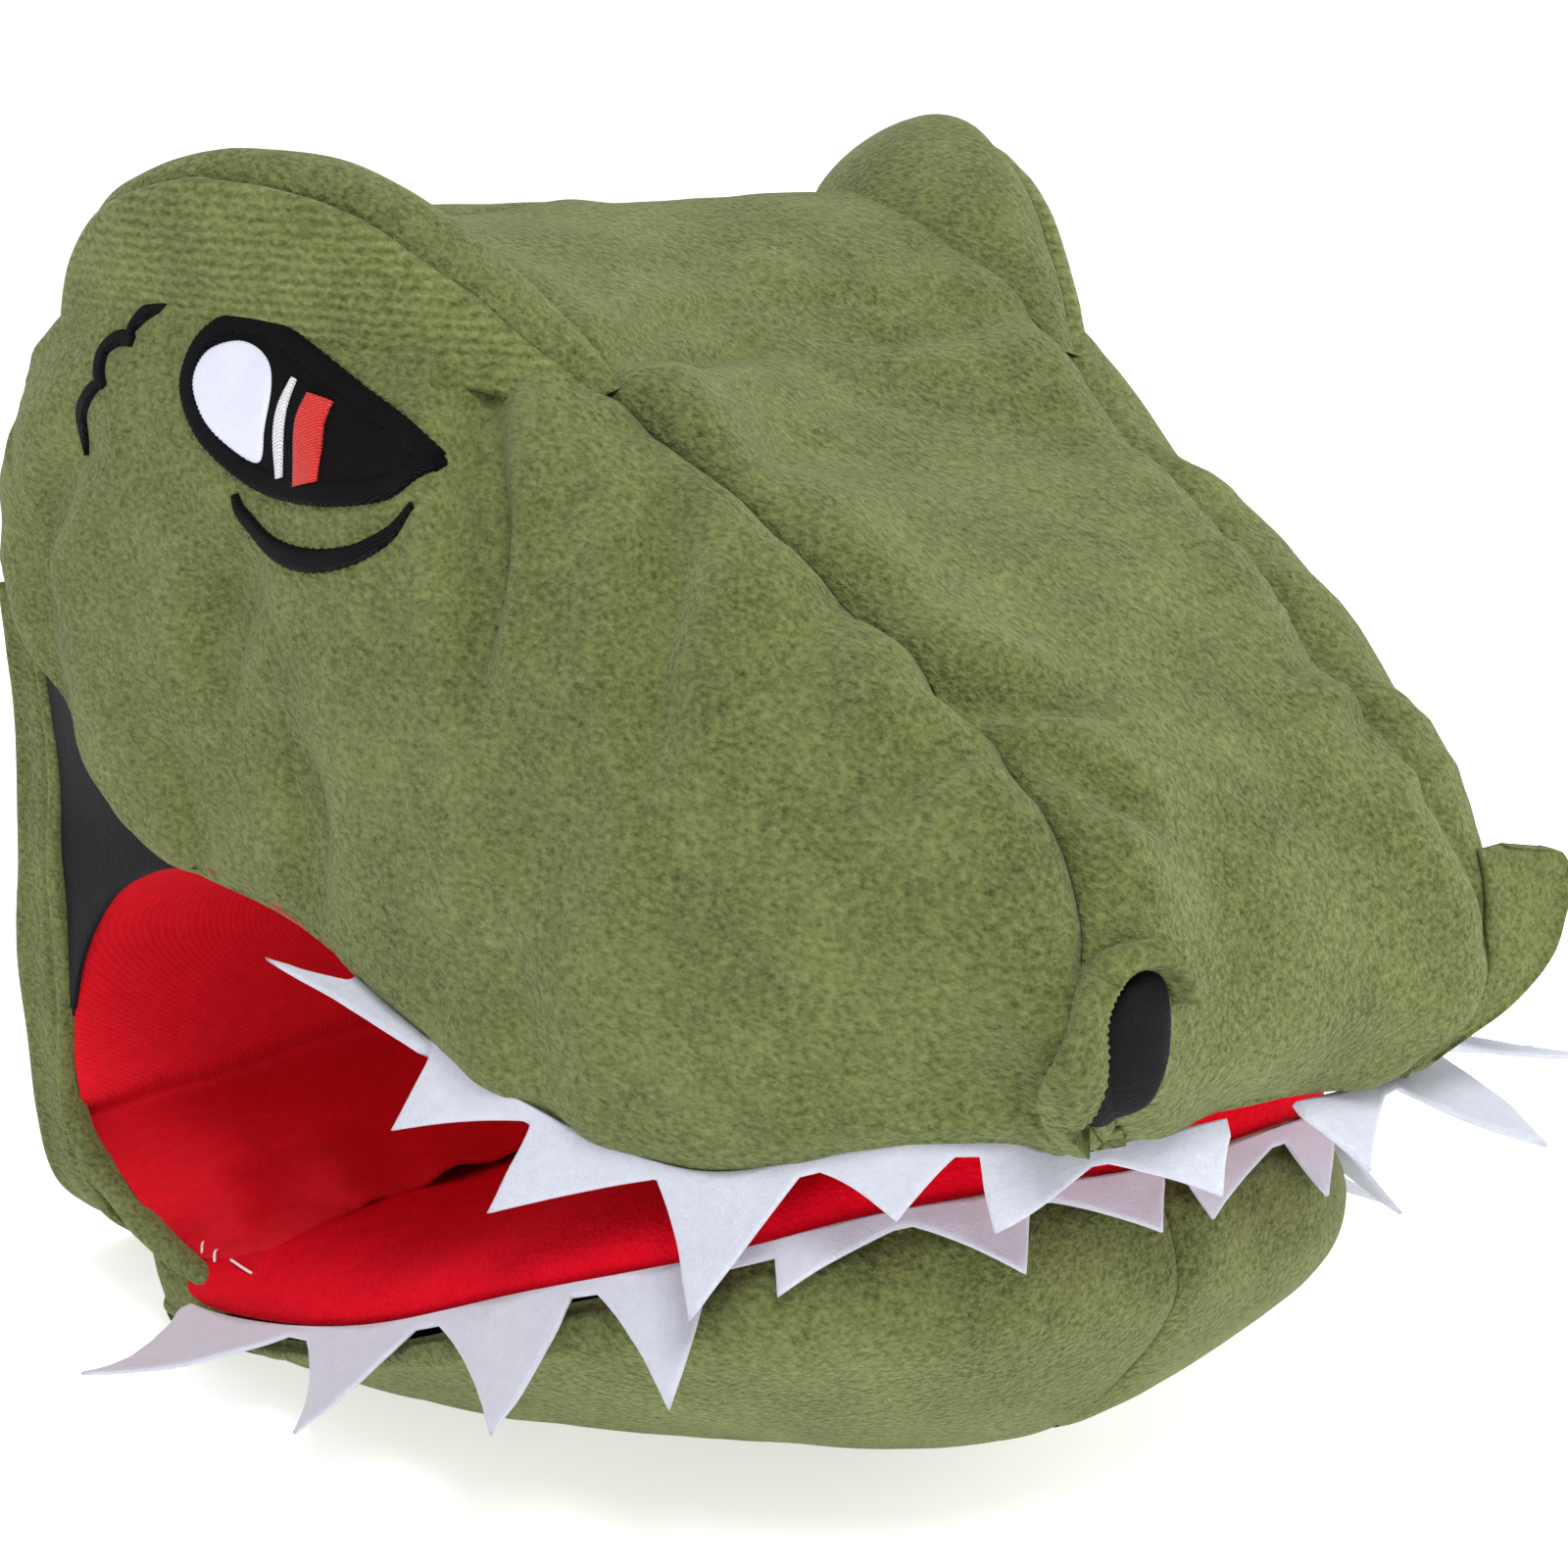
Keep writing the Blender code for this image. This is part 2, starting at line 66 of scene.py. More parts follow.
LIP = ((35, -131, 89), (47, -123, 91), (60, -107, 88), (74, -76, 78), (86, -30, 84),
       (91, 30, 99), (95, 78, 104), (98, 108, 126), (91, 140, 149))
MIDDLE = ((0, -100, 108), (0, -96, 112), (0, -86, 116), (0, -62, 118), (0, -20, 122),
          (0, 40, 128), (0, 86, 132), (0, 122, 136), (0, 150, 136))
RIM = ((0, -112, 74), (32, -107, 74), (52, -95, 70), (67, -76, 61), (80, -40, 46.5),
       (88, 8, 26.5), (91, 55, 14), (89, 95, 8.5), (85, 126, 7.5))
JAW_SIDE = ((0, -117, 54), (35, -111, 53), (54, -97, 51), (69, -75, 45), (82, -37, 35.5),
            (89, 9, 22), (91, 55, 11.5), (89, 95, 7), (85, 126, 6.2))
JAW_EDGE = ((0, -100, 32), (24, -94, 31), (38, -81, 28), (49, -60, 23), (58, -28, 15),
            (64, 14, 7), (68, 58, 2.6), (68, 96, 2), (66, 126, 1.6))
KEEL = ((0, -85, 20), (0, -75, 15), (0, -62, 10), (0, -44, 6), (0, -14, 2),
        (0, 25, 0), (0, 62, 0), (0, 96, 0), (0, 126, 0))
SOLE = 1.4
BAND = ((90, 141, 153, 146), (89, 133, 153, 118), (90, 131, 153, 84), (90, 130, 153, 58),
        (88, 130, 153, 32), (82, 130, 153, 13), (62, 130, 153, 1), (34, 130, 153, 0), (0, 130, 153, 0))
# Where the seam between the top panel and a side panel runs, as v at each station.
SEAM_LINE = (1.0, 1.12, 0.90, 0.84, 1.0, 1.0, 1.0, 1.0, 1.0)
CLOTH, LINING, FELT, GAP = 1.6, 0.9, 1.3, 0.35     # thickness of the cloths, and the air under a sewn piece
SKIN_DEPTH, JAW_DEPTH = 3.6, 3.0     # how far the plush panels of head and jaw reach in, turnings included
STRIP = 3.0                          # strip of felt that the teeth hang from


def spline(points, place):
    """Catmull-Rom points at an array of places, counted in points from the first one."""
    pts = np.asarray(points, float)
    if pts.ndim == 1:
        pts = pts[:, None]
    ext = np.vstack([2 * pts[:1] - pts[1:2], pts, 2 * pts[-1:] - pts[-2:-1]])
    place = np.clip(np.asarray(place, float), 0, len(pts) - 1)
    i = np.minimum(place.astype(int), len(pts) - 2)
    f = (place - i)[..., None]
    return cubic(ext[i], ext[i + 1], ext[i + 2], ext[i + 3], f)


def cubic(p0, p1, p2, p3, f):
    """Catmull-Rom point between p1 and p2, at the share f of the way."""
    return 0.5 * (2 * p1 + (p2 - p0) * f + (2 * p0 - 5 * p1 + 4 * p2 - p3) * f * f
                  + (3 * p1 - p0 - 3 * p2 + p3) * f ** 3)


def across(rows, place):
    """Catmull-Rom across guides that were already evaluated: rows is (guides, samples, 3)."""
    rows = np.asarray(rows)
    ext = np.concatenate([2 * rows[:1] - rows[1:2], rows, 2 * rows[-1:] - rows[-2:-1]])
    place = np.clip(place, 0, len(rows) - 1)
    i = np.minimum(place.astype(int), len(rows) - 2)
    n = np.arange(len(place))
    return cubic(ext[i, n], ext[i + 1, n], ext[i + 2, n], ext[i + 3, n], (place - i)[:, None])


def flip(points, side):
    return points * np.array([side, 1, 1])


def steps(first, last, count):
    return np.linspace(first, last, count)


def bell(x, width, power=2):
    """1 where x is 0, falling away over about `width` on both sides."""
    return np.exp(-np.abs(x / width) ** power)


def clamp(x):
    return np.clip(x, 0, 1)


def xyz(x, y, z):
    return np.stack([x, y, z], 1)


def unit(v):
    v = np.asarray(v, float)
    return v / np.maximum(np.linalg.norm(v, axis=-1, keepdims=True), 1e-9)


def head_point(t, w):
    """Head's surface on the puppet's left half: w 0 centre line, 1 top seam, ... 4 lip."""
    rows = [spline(g, t) for g in (CENTRE, TOP_SEAM, TEMPLE, CHEEK, LIP)]
    rows.insert(0, flip(rows[1], -1))
    return across(rows, w + 1)


def jaw_point(t, w):
    """Jaw's surface on the puppet's left half: w 0 rim, 1 jaw side, 2 lower edge, 3 keel."""
    rows = [spline(g, t) for g in (RIM, JAW_SIDE, JAW_EDGE, KEEL)]
    rows.append(flip(rows[2], -1))
    point = across(rows, w)
    point[:, 2] = np.maximum(point[:, 2] - SOLE, 0.0)
    return point


def mm_across(surface, t, w, end):
    """Length in mm of one unit of w at each place; w runs to `end`."""
    ahead = np.clip(w + 0.02, 0, end)
    return np.linalg.norm(surface(t, ahead) - surface(t, ahead - 0.04), axis=1) / 0.04


def facing(surface, t, w, inside, step=0.02):
    """Unit normals that point away from `inside`."""
    n = unit(np.cross(surface(t + step, w) - surface(t - step, w), surface(t, w + step) - surface(t, w - step)))
    flipped = ((surface(t, w) - inside) * n).sum(1) < 0
    n[flipped] *= -1
    return n


# ---------------------------------------------------------------- relief of stuffed plush

LATTICE = [np.random.default_rng(seed).random((24, 24, 24)) * 2 - 1 for seed in (3, 11, 29, 41)]


def noise(points, size, which=0):
    """Smooth value noise from -1 to 1."""
    g = points / size + 5.37 * which
    i = np.floor(g).astype(int)
    f = g - i
    f = f * f * (3 - 2 * f)
    total = np.zeros(len(points))
    for corner in itertools.product((0, 1), repeat=3):
        weight = np.prod(np.where(corner, f, 1 - f), axis=1)
        j = (i + corner) % 24
        total += weight * LATTICE[which][j[:, 0], j[:, 1], j[:, 2]]
    return total


# Folds of the head's plush: places (t, v) along the fold, depth and width in mm.  These places and the
# outlines of eye and nostril below were fitted by a program and rounded.
FOLDS = (
    (((4.34, 1.36), (4.25, 1.60), (4.16, 1.78), (4.11, 1.95), (4.08, 2.14), (4.06, 2.45)), 3.2, 4.5),
    (((3.90, 1.10), (3.73, 1.23), (3.60, 1.37), (3.54, 1.58), (3.49, 1.83), (3.41, 2.08), (3.38, 2.3)), 1.8, 5.0),
    (((5.03, 2.70), (5.14, 2.91), (5.19, 3.07), (5.13, 3.25)), 1.6, 7.0),
    (((4.87, 3.20), (4.82, 3.41), (4.82, 3.65), (4.88, 3.92)), 1.6, 7.0),
    (((5.93, 2.48), (6.15, 2.68), (6.42, 2.95), (6.47, 3.17), (6.33, 3.38)), 1.8, 6.0),
    (((4.18, 0.92), (4.20, 0.64), (4.25, 0.46), (4.34, 0.25), (4.43, 0.07)), 2.0, 5.0),
    (((4.27, 0.72), (4.37, 0.51), (4.47, 0.32), (4.56, 0.05)), 1.4, 4.0),
    (((2.82, 0.84), (2.70, 0.72), (2.60, 0.60), (2.52, 0.46)), 2.0, 4.5),
    (((2.43, 0.80), (2.30, 0.66), (2.13, 0.60), (1.95, 0.52)), 1.8, 4.0),
    (((3.69, 0.80), (3.75, 0.55), (3.85, 0.25)), 1.6, 9.0),
    (((3.25, 0.85), (3.20, 1.1), (3.12, 1.4)), 1.2, 5.0),
    (((2.55, 0.85), (2.62, 1.15), (2.60, 1.5)), 1.0, 5.0),
    (((5.6, 3.97), (5.55, 3.7), (5.6, 3.45)), 1.4, 5.0),
    (((3.7, 3.97), (3.75, 3.6), (3.85, 3.3)), 1.0, 6.0),
    (((6.9, 3.9), (6.8, 3.5), (6.85, 3.1), (6.75, 2.7)), 1.4, 7.0),
    (((7.3, 1.2), (7.0, 1.5), (6.9, 1.9)), 1.4, 7.0),
    (((7.6, 0.6), (7.2, 0.5), (6.7, 0.55)), 1.2, 8.0),
    (((1.2, 0.3), (1.7, 0.35), (2.0, 0.1)), 0.8, 8.0),
)
FOLD_GAIN = 2.6
FAR_FOLDS = 0.4     # share of the depth on the puppet's left, the far side in the photo
FOLD_SAMPLES = 36


def folds_on_head(points, side):
    """How far the folds push the surface in (positive), at points of one half of the head."""
    push = np.zeros(len(points))
    for places, depth, width in FOLDS:
        s = steps(0, len(places) - 1, FOLD_SAMPLES)
        tv = spline(places, s)
        line = flip(head_point(tv[:, 0], tv[:, 1]), side)
        near = np.where(np.linalg.norm(points - line.mean(0), axis=1) < 60 + 3 * width)[0]
        if not len(near):
            continue
        gaps = np.linalg.norm(points[near, None] - line[None], axis=2)
        k = gaps.argmin(1)
        d = gaps[np.arange(len(near)), k]
        taper = np.sin(np.pi * clamp(0.12 + 0.86 * k / (FOLD_SAMPLES - 1))) ** 0.7
        valley = bell(d, width)
        shoulder = 0.30 * bell(d - 2.1 * width, 1.2 * width)
        push[near] += FOLD_GAIN * (1.0 if side < 0 else FAR_FOLDS) * depth * taper * (valley - shoulder)
    return push


NAPE = 5.6     # station of the seam between the snout's top panel and the back panel


def head_skin(t, v, lift=0.0, relief=1.0, edges=True):
    """Displaced plush surface of the head at signed v, `lift` mm above it."""
    t, v = np.asarray(t, float), np.asarray(v, float)
    side = np.where(v >= 0, 1.0, -1.0)
    w = np.abs(v)
    t_in, w_in = np.clip(t, 0.03, 7.97), np.minimum(w, 3.96)
    base = head_point(t, w)
    n = facing(head_point, t_in, w_in, spline(MIDDLE, t_in))
    span = mm_across(head_point, t, w, 4)
    front, rear = np.clip(t - 0.02, 0, 8), np.clip(t + 0.02, 0, 8)
    stride = np.linalg.norm(head_point(rear, w) - head_point(front, w), axis=1) / 0.04
    sign = side[:, None] * np.array([1, 0, 0]) + np.array([0, 1, 1])
    world = base * sign
    move = np.zeros(len(t))
    if relief:
        seam = spline(SEAM_LINE, t)[:, 0]
        d = (w - seam) * span
        pucker = 1 + 0.35 * noise(world, 9.0, 3)
        ease = np.clip((t - 0.2) / 1.2, 0.25, 1) * pucker
        move -= 3.6 * ease * bell(d, 2.8, 1.2)
        move += 1.8 * bell(np.abs(d) - 11, 8.0)
        gathers = bell(np.abs(d) - 5, 5.0)
        move += 0.9 * gathers * noise(xyz(t * stride, w * 0, side * 9), 7.0, 2)
        nape = (t - NAPE) * stride
        move -= np.where(w < seam, 1.8 * bell(nape, 2.4, 1.3), 0)
        move += 2.3 * noise(world, 44.0, 0) + 1.3 * noise(world, 19.0, 1) + 0.40 * noise(world, 8.0, 2)
        for s in (1, -1):
            pick = side == s
            if pick.any():
                move[pick] -= folds_on_head(world[pick], s)
        move *= relief
    if edges:
        move -= 2.6 * bell((4 - w) * span, 2.6)
        move -= 1.6 * bell((8 - t) * stride, 3.0)
        move -= 1.4 * bell(t * stride, 2.5)
    return world + n * sign * (move + lift)[:, None]


# ---------------------------------------------------------------- meshes

def grid_faces(rows, columns):
    a = (np.arange(rows - 1)[:, None] * columns + np.arange(columns - 1)[None]).ravel()
    b = a + columns
    return np.stack([a, b, b + 1, a + 1], 1)


def add(name, mesh, material, body, replaces):
    mesh.shade_smooth()
    mesh.materials.append(material)
    thing = bpy.data.objects.new(name, mesh)
    bpy.context.scene.collection.objects.link(thing)
    if body:
        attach(thing, body)
    if replaces:
        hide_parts(*replaces)
    return thing


def make(name, points, faces, material, body=None, replaces=()):
    mesh = bpy.data.meshes.new(name)
    mesh.from_pydata((np.asarray(points) * MM).tolist(), [], np.asarray(faces).tolist())
    mesh.validate()
    return add(name, mesh, material, body, replaces)


def slab_data(us, vs, outer, inner):
    """Points and faces of a closed sheet between two surfaces on the grid us by vs."""
    u, v = (g.ravel() for g in np.meshgrid(us, vs, indexing="ij"))
    top, bottom = outer(u, v), inner(u, v)
    rows, columns = len(us), len(vs)
    count = rows * columns
    faces = grid_faces(rows, columns)
    border = [i * columns for i in range(rows)] + [(rows - 1) * columns + j for j in range(1, columns)]
    border += [i * columns + columns - 1 for i in range(rows - 2, -1, -1)] + list(range(columns - 2, 0, -1))
    walls = [(b, a, a + count, b + count) for a, b in zip(border, border[1:] + border[:1])]
    points = np.vstack([top, bottom])
    faces = np.vstack([faces, faces[:, ::-1] + count, np.array(walls)])
    p = points[faces]
    volume = (np.cross(p[:, 0], p[:, 1]) * p[:, 2]).sum() + (np.cross(p[:, 0], p[:, 2]) * p[:, 3]).sum()
    if volume < 0:
        faces = faces[:, ::-1]
    return points, faces


def slab(name, us, vs, outer, inner, material, body=None, replaces=()):
    points, faces = slab_data(us, vs, outer, inner)
    return make(name, points, faces, material, body, replaces)


def shifted(surface, x, y, z):
    """The same surface moved by a fixed step."""
    return lambda a, b: surface(a, b) + np.array([x, y, z])


def tube_data(line, radius, sides=8):
    """Points and faces of a tube with closed ends along a line; radius may vary."""
    line = np.asarray(line, float)
    radius = np.broadcast_to(radius, len(line))
    run = unit(np.gradient(line, axis=0))
    side = unit(np.cross(run, (0.13, 0.21, 0.97)))
    up = np.cross(side, run)
    angle = np.linspace(0, 2 * np.pi, sides, endpoint=False)
    rings = line[:, None] + radius[:, None, None] * (np.cos(angle)[None, :, None] * side[:, None]
                                                     + np.sin(angle)[None, :, None] * up[:, None])
    points = rings.reshape(-1, 3)
    faces = []
    for i in range(len(line) - 1):
        for j in range(sides):
            k = (j + 1) % sides
            faces.append((i * sides + j, i * sides + k, (i + 1) * sides + k, (i + 1) * sides + j))
    ends = [tuple(range(sides))[::-1], tuple(range((len(line) - 1) * sides, len(line) * sides))]
    return points, faces + ends


def join(parts):
    """One list of points and faces out of several."""
    points, faces, count = [], [], 0
    for p, f in parts:
        points.append(np.asarray(p, float))
        faces += [tuple(int(x) + count for x in face) for face in f]
        count += len(p)
    return np.vstack(points), faces


def make_joined(name, parts, material, body=None, replaces=()):
    points, faces = join(parts)
    mesh = bpy.data.meshes.new(name)
    mesh.from_pydata((points * MM).tolist(), [], faces)
    return add(name, mesh, material, body, replaces)


# ---------------------------------------------------------------- materials

def nodes_of(name):
    made = bpy.data.materials.new(name)
    made.use_nodes = True
    tree = made.node_tree
    return made, tree, tree.nodes["Principled BSDF"]


def texture(tree, kind, coordinate, scale, **settings):
    node = tree.nodes.new(kind)
    tree.links.new(coordinate, node.inputs["Vector"])
    node.inputs["Scale"].default_value = scale
    for key, value in settings.items():
        if key in node.inputs:
            node.inputs[key].default_value = value
        else:
            setattr(node, key, value)
    return node


def math_node(tree, operation, a, b):
    node = tree.nodes.new("ShaderNodeMath")
    node.operation = operation
    for slot_index, value in enumerate((a, b)):
        if isinstance(value, (int, float)):
            node.inputs[slot_index].default_value = value
        else:
            tree.links.new(value, node.inputs[slot_index])
    return node.outputs[0]


# Pitch in mm of a wave texture of scale 1: 2 pi / 20 along an axis, 2 pi / (10 sqrt 3) along the diagonal.
WAVE_AXIS, WAVE_DIAGONAL = 314.0, 363.0


def fabric(name, dark, light, grain, clump, patch, bump, roughness=0.9, sheen=0.25, tint=(1, 1, 1),
           stretch=(1, 1, 1), line=None, line_share=0.35, shares=(0.5, 0.3, 0.2), contrast=0.5,
           distortion=0.0, specular=0.2, line_axis="DIAGONAL", line_distortion=0.6):
    """A cloth: three sizes of noise in mm (fibres, tufts, patches), and woven or stitched lines."""
    made, tree, shader = nodes_of(name)
    place = tree.nodes.new("ShaderNodeTexCoord")
    mapping = tree.nodes.new("ShaderNodeMapping")
    mapping.inputs["Scale"].default_value = stretch
    mapping.inputs["Rotation"].default_value = (0.5, 0.3, 0.2)
    tree.links.new(place.outputs["Object"], mapping.inputs["Vector"])
    fine = texture(tree, "ShaderNodeTexNoise", mapping.outputs[0], 1000.0 / grain, Detail=3.0, Roughness=0.6,
                   Distortion=distortion)
    tuft = texture(tree, "ShaderNodeTexNoise", place.outputs["Object"], 1000.0 / clump, Detail=3.0, Roughness=0.55)
    wide = texture(tree, "ShaderNodeTexNoise", place.outputs["Object"], 1000.0 / patch, Detail=2.0, Roughness=0.5)
    total = math_node(tree, "MULTIPLY", fine.outputs[0], shares[0])
    total = math_node(tree, "ADD", total, math_node(tree, "MULTIPLY", tuft.outputs[0], shares[1]))
    total = math_node(tree, "ADD", total, math_node(tree, "MULTIPLY", wide.outputs[0], shares[2]))
    height = math_node(tree, "ADD", fine.outputs[0], math_node(tree, "MULTIPLY", tuft.outputs[0], 0.6))
    if line:
        scale = (WAVE_DIAGONAL if line_axis == "DIAGONAL" else WAVE_AXIS) / line
        wave = texture(tree, "ShaderNodeTexWave", place.outputs["Object"], scale, bands_direction=line_axis,
                       Distortion=line_distortion, Detail=1.0)
        wave.inputs["Detail Scale"].default_value = 2.0
        total = math_node(tree, "ADD", math_node(tree, "MULTIPLY", total, 1 - line_share),
                          math_node(tree, "MULTIPLY", wave.outputs["Fac"], line_share))
        height = math_node(tree, "ADD", math_node(tree, "MULTIPLY", height, 0.5),
                           math_node(tree, "MULTIPLY", wave.outputs["Fac"], min(1.0, 1.7 * line_share)))
    ramp = tree.nodes.new("ShaderNodeValToRGB")
    tree.links.new(total, ramp.inputs[0])
    ramp.color_ramp.elements[0].position = 0.5 - 0.5 * contrast
    ramp.color_ramp.elements[1].position = 0.5 + 0.5 * contrast
    ramp.color_ramp.elements[0].color = (*dark, 1)
    ramp.color_ramp.elements[1].color = (*light, 1)
    tree.links.new(ramp.outputs[0], shader.inputs["Base Color"])
    relief = tree.nodes.new("ShaderNodeBump")
    relief.inputs["Strength"].default_value = 0.9
    relief.inputs["Distance"].default_value = bump * MM
    tree.links.new(height, relief.inputs["Height"])
    tree.links.new(relief.outputs[0], shader.inputs["Normal"])
    shader.inputs["Roughness"].default_value = roughness
    shader.inputs["Specular IOR Level"].default_value = specular
    shader.inputs["Sheen Weight"].default_value = sheen
    shader.inputs["Sheen Roughness"].default_value = 0.45
    shader.inputs["Sheen Tint"].default_value = (*tint, 1)
    return made


def plush(name, bump, **lines):
    return fabric(name, (0.038, 0.050, 0.009), (0.218, 0.248, 0.082), 0.9, 1.7, 18.0, bump, sheen=0.22,
                  tint=(0.80, 0.85, 0.55), stretch=(1, 0.5, 1), contrast=0.36, shares=(0.60, 0.20, 0.20), **lines)


def satin(name, dark, light, roughness, sheen, specular):
    """Close rows of satin stitch."""
    return fabric(name, dark, light, 0.5, 2.0, 9.0, 0.25, roughness=roughness, sheen=sheen, specular=specular,
                  line=0.5, line_share=0.6, line_distortion=2.0)


PLUSH = plush("plush", 1.3)
PLUSH_RIBBED = plush("plush_ribbed", 0.9, line=2.1, line_share=0.10, line_axis="Z", line_distortion=2.5)
FLEECE = fabric("black_fleece", (0.002, 0.002, 0.003), (0.009, 0.009, 0.011), 0.7, 3.0, 12.0, 0.5, sheen=0.05,
                tint=(0.6, 0.6, 0.65), contrast=0.6)
SATIN_BLACK = satin("embroidery_black", (0.001, 0.001, 0.001), (0.007, 0.007, 0.009), 0.5, 0.0, 0.06)
EYE_WHITE = fabric("eye_white", (0.60, 0.61, 0.74), (0.74, 0.75, 0.88), 0.5, 2.0, 9.0, 0.10, roughness=0.6, sheen=0.1,
                   line=0.45, line_share=0.3)
SATIN_WHITE = satin("embroidery_white", (0.55, 0.56, 0.60), (0.92, 0.92, 0.95), 0.45, 0.05, 0.4)
SATIN_RED = satin("eye_red", (0.42, 0.008, 0.008), (0.85, 0.03, 0.02), 0.4, 0.05, 0.4)
FELT_WHITE = fabric("felt_white", (0.50, 0.52, 0.63), (0.76, 0.78, 0.87), 0.45, 2.2, 14.0, 0.35, roughness=0.95,
                    sheen=0.3, contrast=0.7, distortion=1.5)
GUM_RED = fabric("gum_red", (0.50, 0.0, 0.006), (0.88, 0.004, 0.022), 0.9, 4.5, 14.0, 0.9, sheen=0.04,
                 tint=(1, 0.1, 0.1), specular=0.05, contrast=0.6)
TWILL_RED = fabric("twill_red", (0.44, 0.002, 0.006), (0.80, 0.010, 0.026), 0.4, 3.0, 18.0, 0.25, roughness=0.75,
                   sheen=0.05, tint=(1, 0.2, 0.2), line=0.7, line_share=0.12, line_distortion=0.8, contrast=0.5,
                   specular=0.10)
WADDING = fabric("wadding", (0.62, 0.62, 0.58), (0.90, 0.90, 0.87), 0.6, 5.0, 20.0, 1.2, sheen=0.3, distortion=3.0)
BOARD = fabric("board", (0.22, 0.17, 0.11), (0.40, 0.32, 0.21), 0.5, 3.0, 20.0, 0.05, roughness=0.75, sheen=0.0,
               stretch=(1, 0.2, 1))
THREAD = fabric("thread_white", (0.70, 0.68, 0.66), (0.93, 0.92, 0.90), 0.3, 1.0, 5.0, 0.08, roughness=0.6, sheen=0.1)


# ---------------------------------------------------------------- head's plush panels

SEAM_GAP = 0.004     # half of the slit between two panels, as a share of the step between guides


def panel(name, us, qs, place, replaces):
    """A plush panel of the head; place gives the signed v of a station and a share of its width."""
    slab(name, us, qs, lambda u, q: head_skin(u, place(u, q)),
         lambda u, q: head_skin(u, place(u, q), -SKIN_DEPTH, relief=0, edges=False), PLUSH, HEAD, replaces)


def top_place(u, q):
    """Between the two top seams: q from -1 to 1."""
    return q * (spline(SEAM_LINE, u)[:, 0] - SEAM_GAP)


def side_place(u, q):
    """From a top seam (q 0) down to the lip (1), on the side of the loop below."""
    seam = spline(SEAM_LINE, u)[:, 0] + SEAM_GAP
    return side * (seam + (4 - seam) * q)


panel("snout_top_skin", steps(0.0, NAPE - 0.005, 200), steps(-1, 1, 74), top_place, ("snout_top_panel",))
panel("back_skin", steps(NAPE + 0.005, 8.0, 80), steps(-1, 1, 84), top_place, ("back_panel",))
for word, side in SIDES:
    panel("side_skin_" + word, steps(0, 8, 270), steps(0, 1, 96), side_place, ("side_panel_" + word,))

# ---------------------------------------------------------------- brow ridges

BROW_FRONT, BROW_BACK, BROW_RISE = 4.05, 6.6, 20.0     # stations of its ends, and its height in mm
CREST = 0.46                                           # where the seam runs, as a share of the width
UP = unit(np.array([0.16, -0.08, 0.98]))
BULGE = unit(np.array([0.75, -0.62, 0.10]))


def brow(s, r, side, lower):
    """Ridge surface: s from its front end to its back end, r from the foot over the eye (0) to
    the foot on the crown (1).  The front face bulges over the eye; the crest seam is in front of the top."""
    s, r = clamp(s), clamp(r)
    arch = np.sin(np.pi * s)
    outer = 1.02 + 0.60 * arch ** 0.5 + 0.42 * s * s
    inner = 0.96 - (0.20 if side < 0 else 0.34) * arch + 0.36 * s * s
    t, v = BROW_FRONT + (BROW_BACK - BROW_FRONT) * s, outer + (inner - outer) * r
    height = BROW_RISE * np.sin(np.pi * s ** 1.2) ** 0.65 * np.sin(np.pi * r ** 1.25) ** 0.62
    base = head_skin(t, v, GAP, relief=0, edges=False)
    world = base + UP * height[:, None]
    width = 62.0 * arch + 4
    crest = (r - CREST) * width
    move = -1.9 * bell(crest, 2.0, 1.4) + 1.2 * bell(np.abs(crest) - 8, 6.0)
    lumps = 1.2 * noise(flip(world, side), 26.0, 1) + 0.5 * noise(flip(world, side), 10.0, 2)
    move += lumps * clamp(height / 6)
    bulge = 4.5 * arch * np.sin(np.pi * clamp(r / 0.62)) + 1.0 * arch * np.sin(np.pi * r)
    rise = np.maximum(height + move - lower, 0.1)
    return flip(base + UP * rise[:, None] + BULGE * (bulge * clamp(rise / 5))[:, None], side)


BROW_CLOTH, BROW_FOOT = 2.2, 40     # plush of a brow, and a depth that always reaches its foot
for word, side in SIDES:
    for face, first, last, finish in (("front", 0.0, CREST - 0.002, PLUSH_RIBBED),
                                      ("back", CREST + 0.002, 1.0, PLUSH)):
        slab(f"brow_{face}_skin_{word}", steps(0.004, 0.996, 110), steps(first, last, 30),
             lambda s, r: brow(s, r, side, 0), lambda s, r: brow(s, r, side, BROW_CLOTH), finish, HEAD,
             (f"brow_{face}_{word}",))
    pad = slab("brow_stuffing_" + word, steps(0.12, 0.88, 40), steps(0.12, 0.88, 24),
               lambda s, r: brow(s, r, side, BROW_CLOTH + 0.8),
               lambda s, r: brow(s, r, side, BROW_FOOT) + np.array([0, 0, 0.2]), WADDING, HEAD,
               ("brow_wadding_" + word,))

# ---------------------------------------------------------------- embroidered eyes

# Outlines are (t, v) places on the head; a satin-stitched line has a width in mm beside each place.
EYE_OUTLINE = ((4.32, 1.71), (4.42, 1.92), (4.56, 2.08), (4.72, 2.20), (4.92, 2.29), (5.11, 2.28), (5.27, 2.19),
               (5.36, 2.04), (5.37, 1.85), (5.29, 1.67), (5.12, 1.60), (4.94, 1.64), (4.70, 1.68), (4.49, 1.69))
EYE_PATCH = ((5.21, 1.76), (5.30, 1.86), (5.315, 2.00), (5.25, 2.12), (5.13, 2.19), (4.97, 2.20), (4.965, 2.06),
             (4.98, 1.90), (5.03, 1.79), (5.12, 1.74))
EYE_STRIPE = (((4.915, 1.79), 1.2), ((4.915, 1.94), 2.3), ((4.895, 2.08), 2.5), ((4.86, 2.20), 1.6))
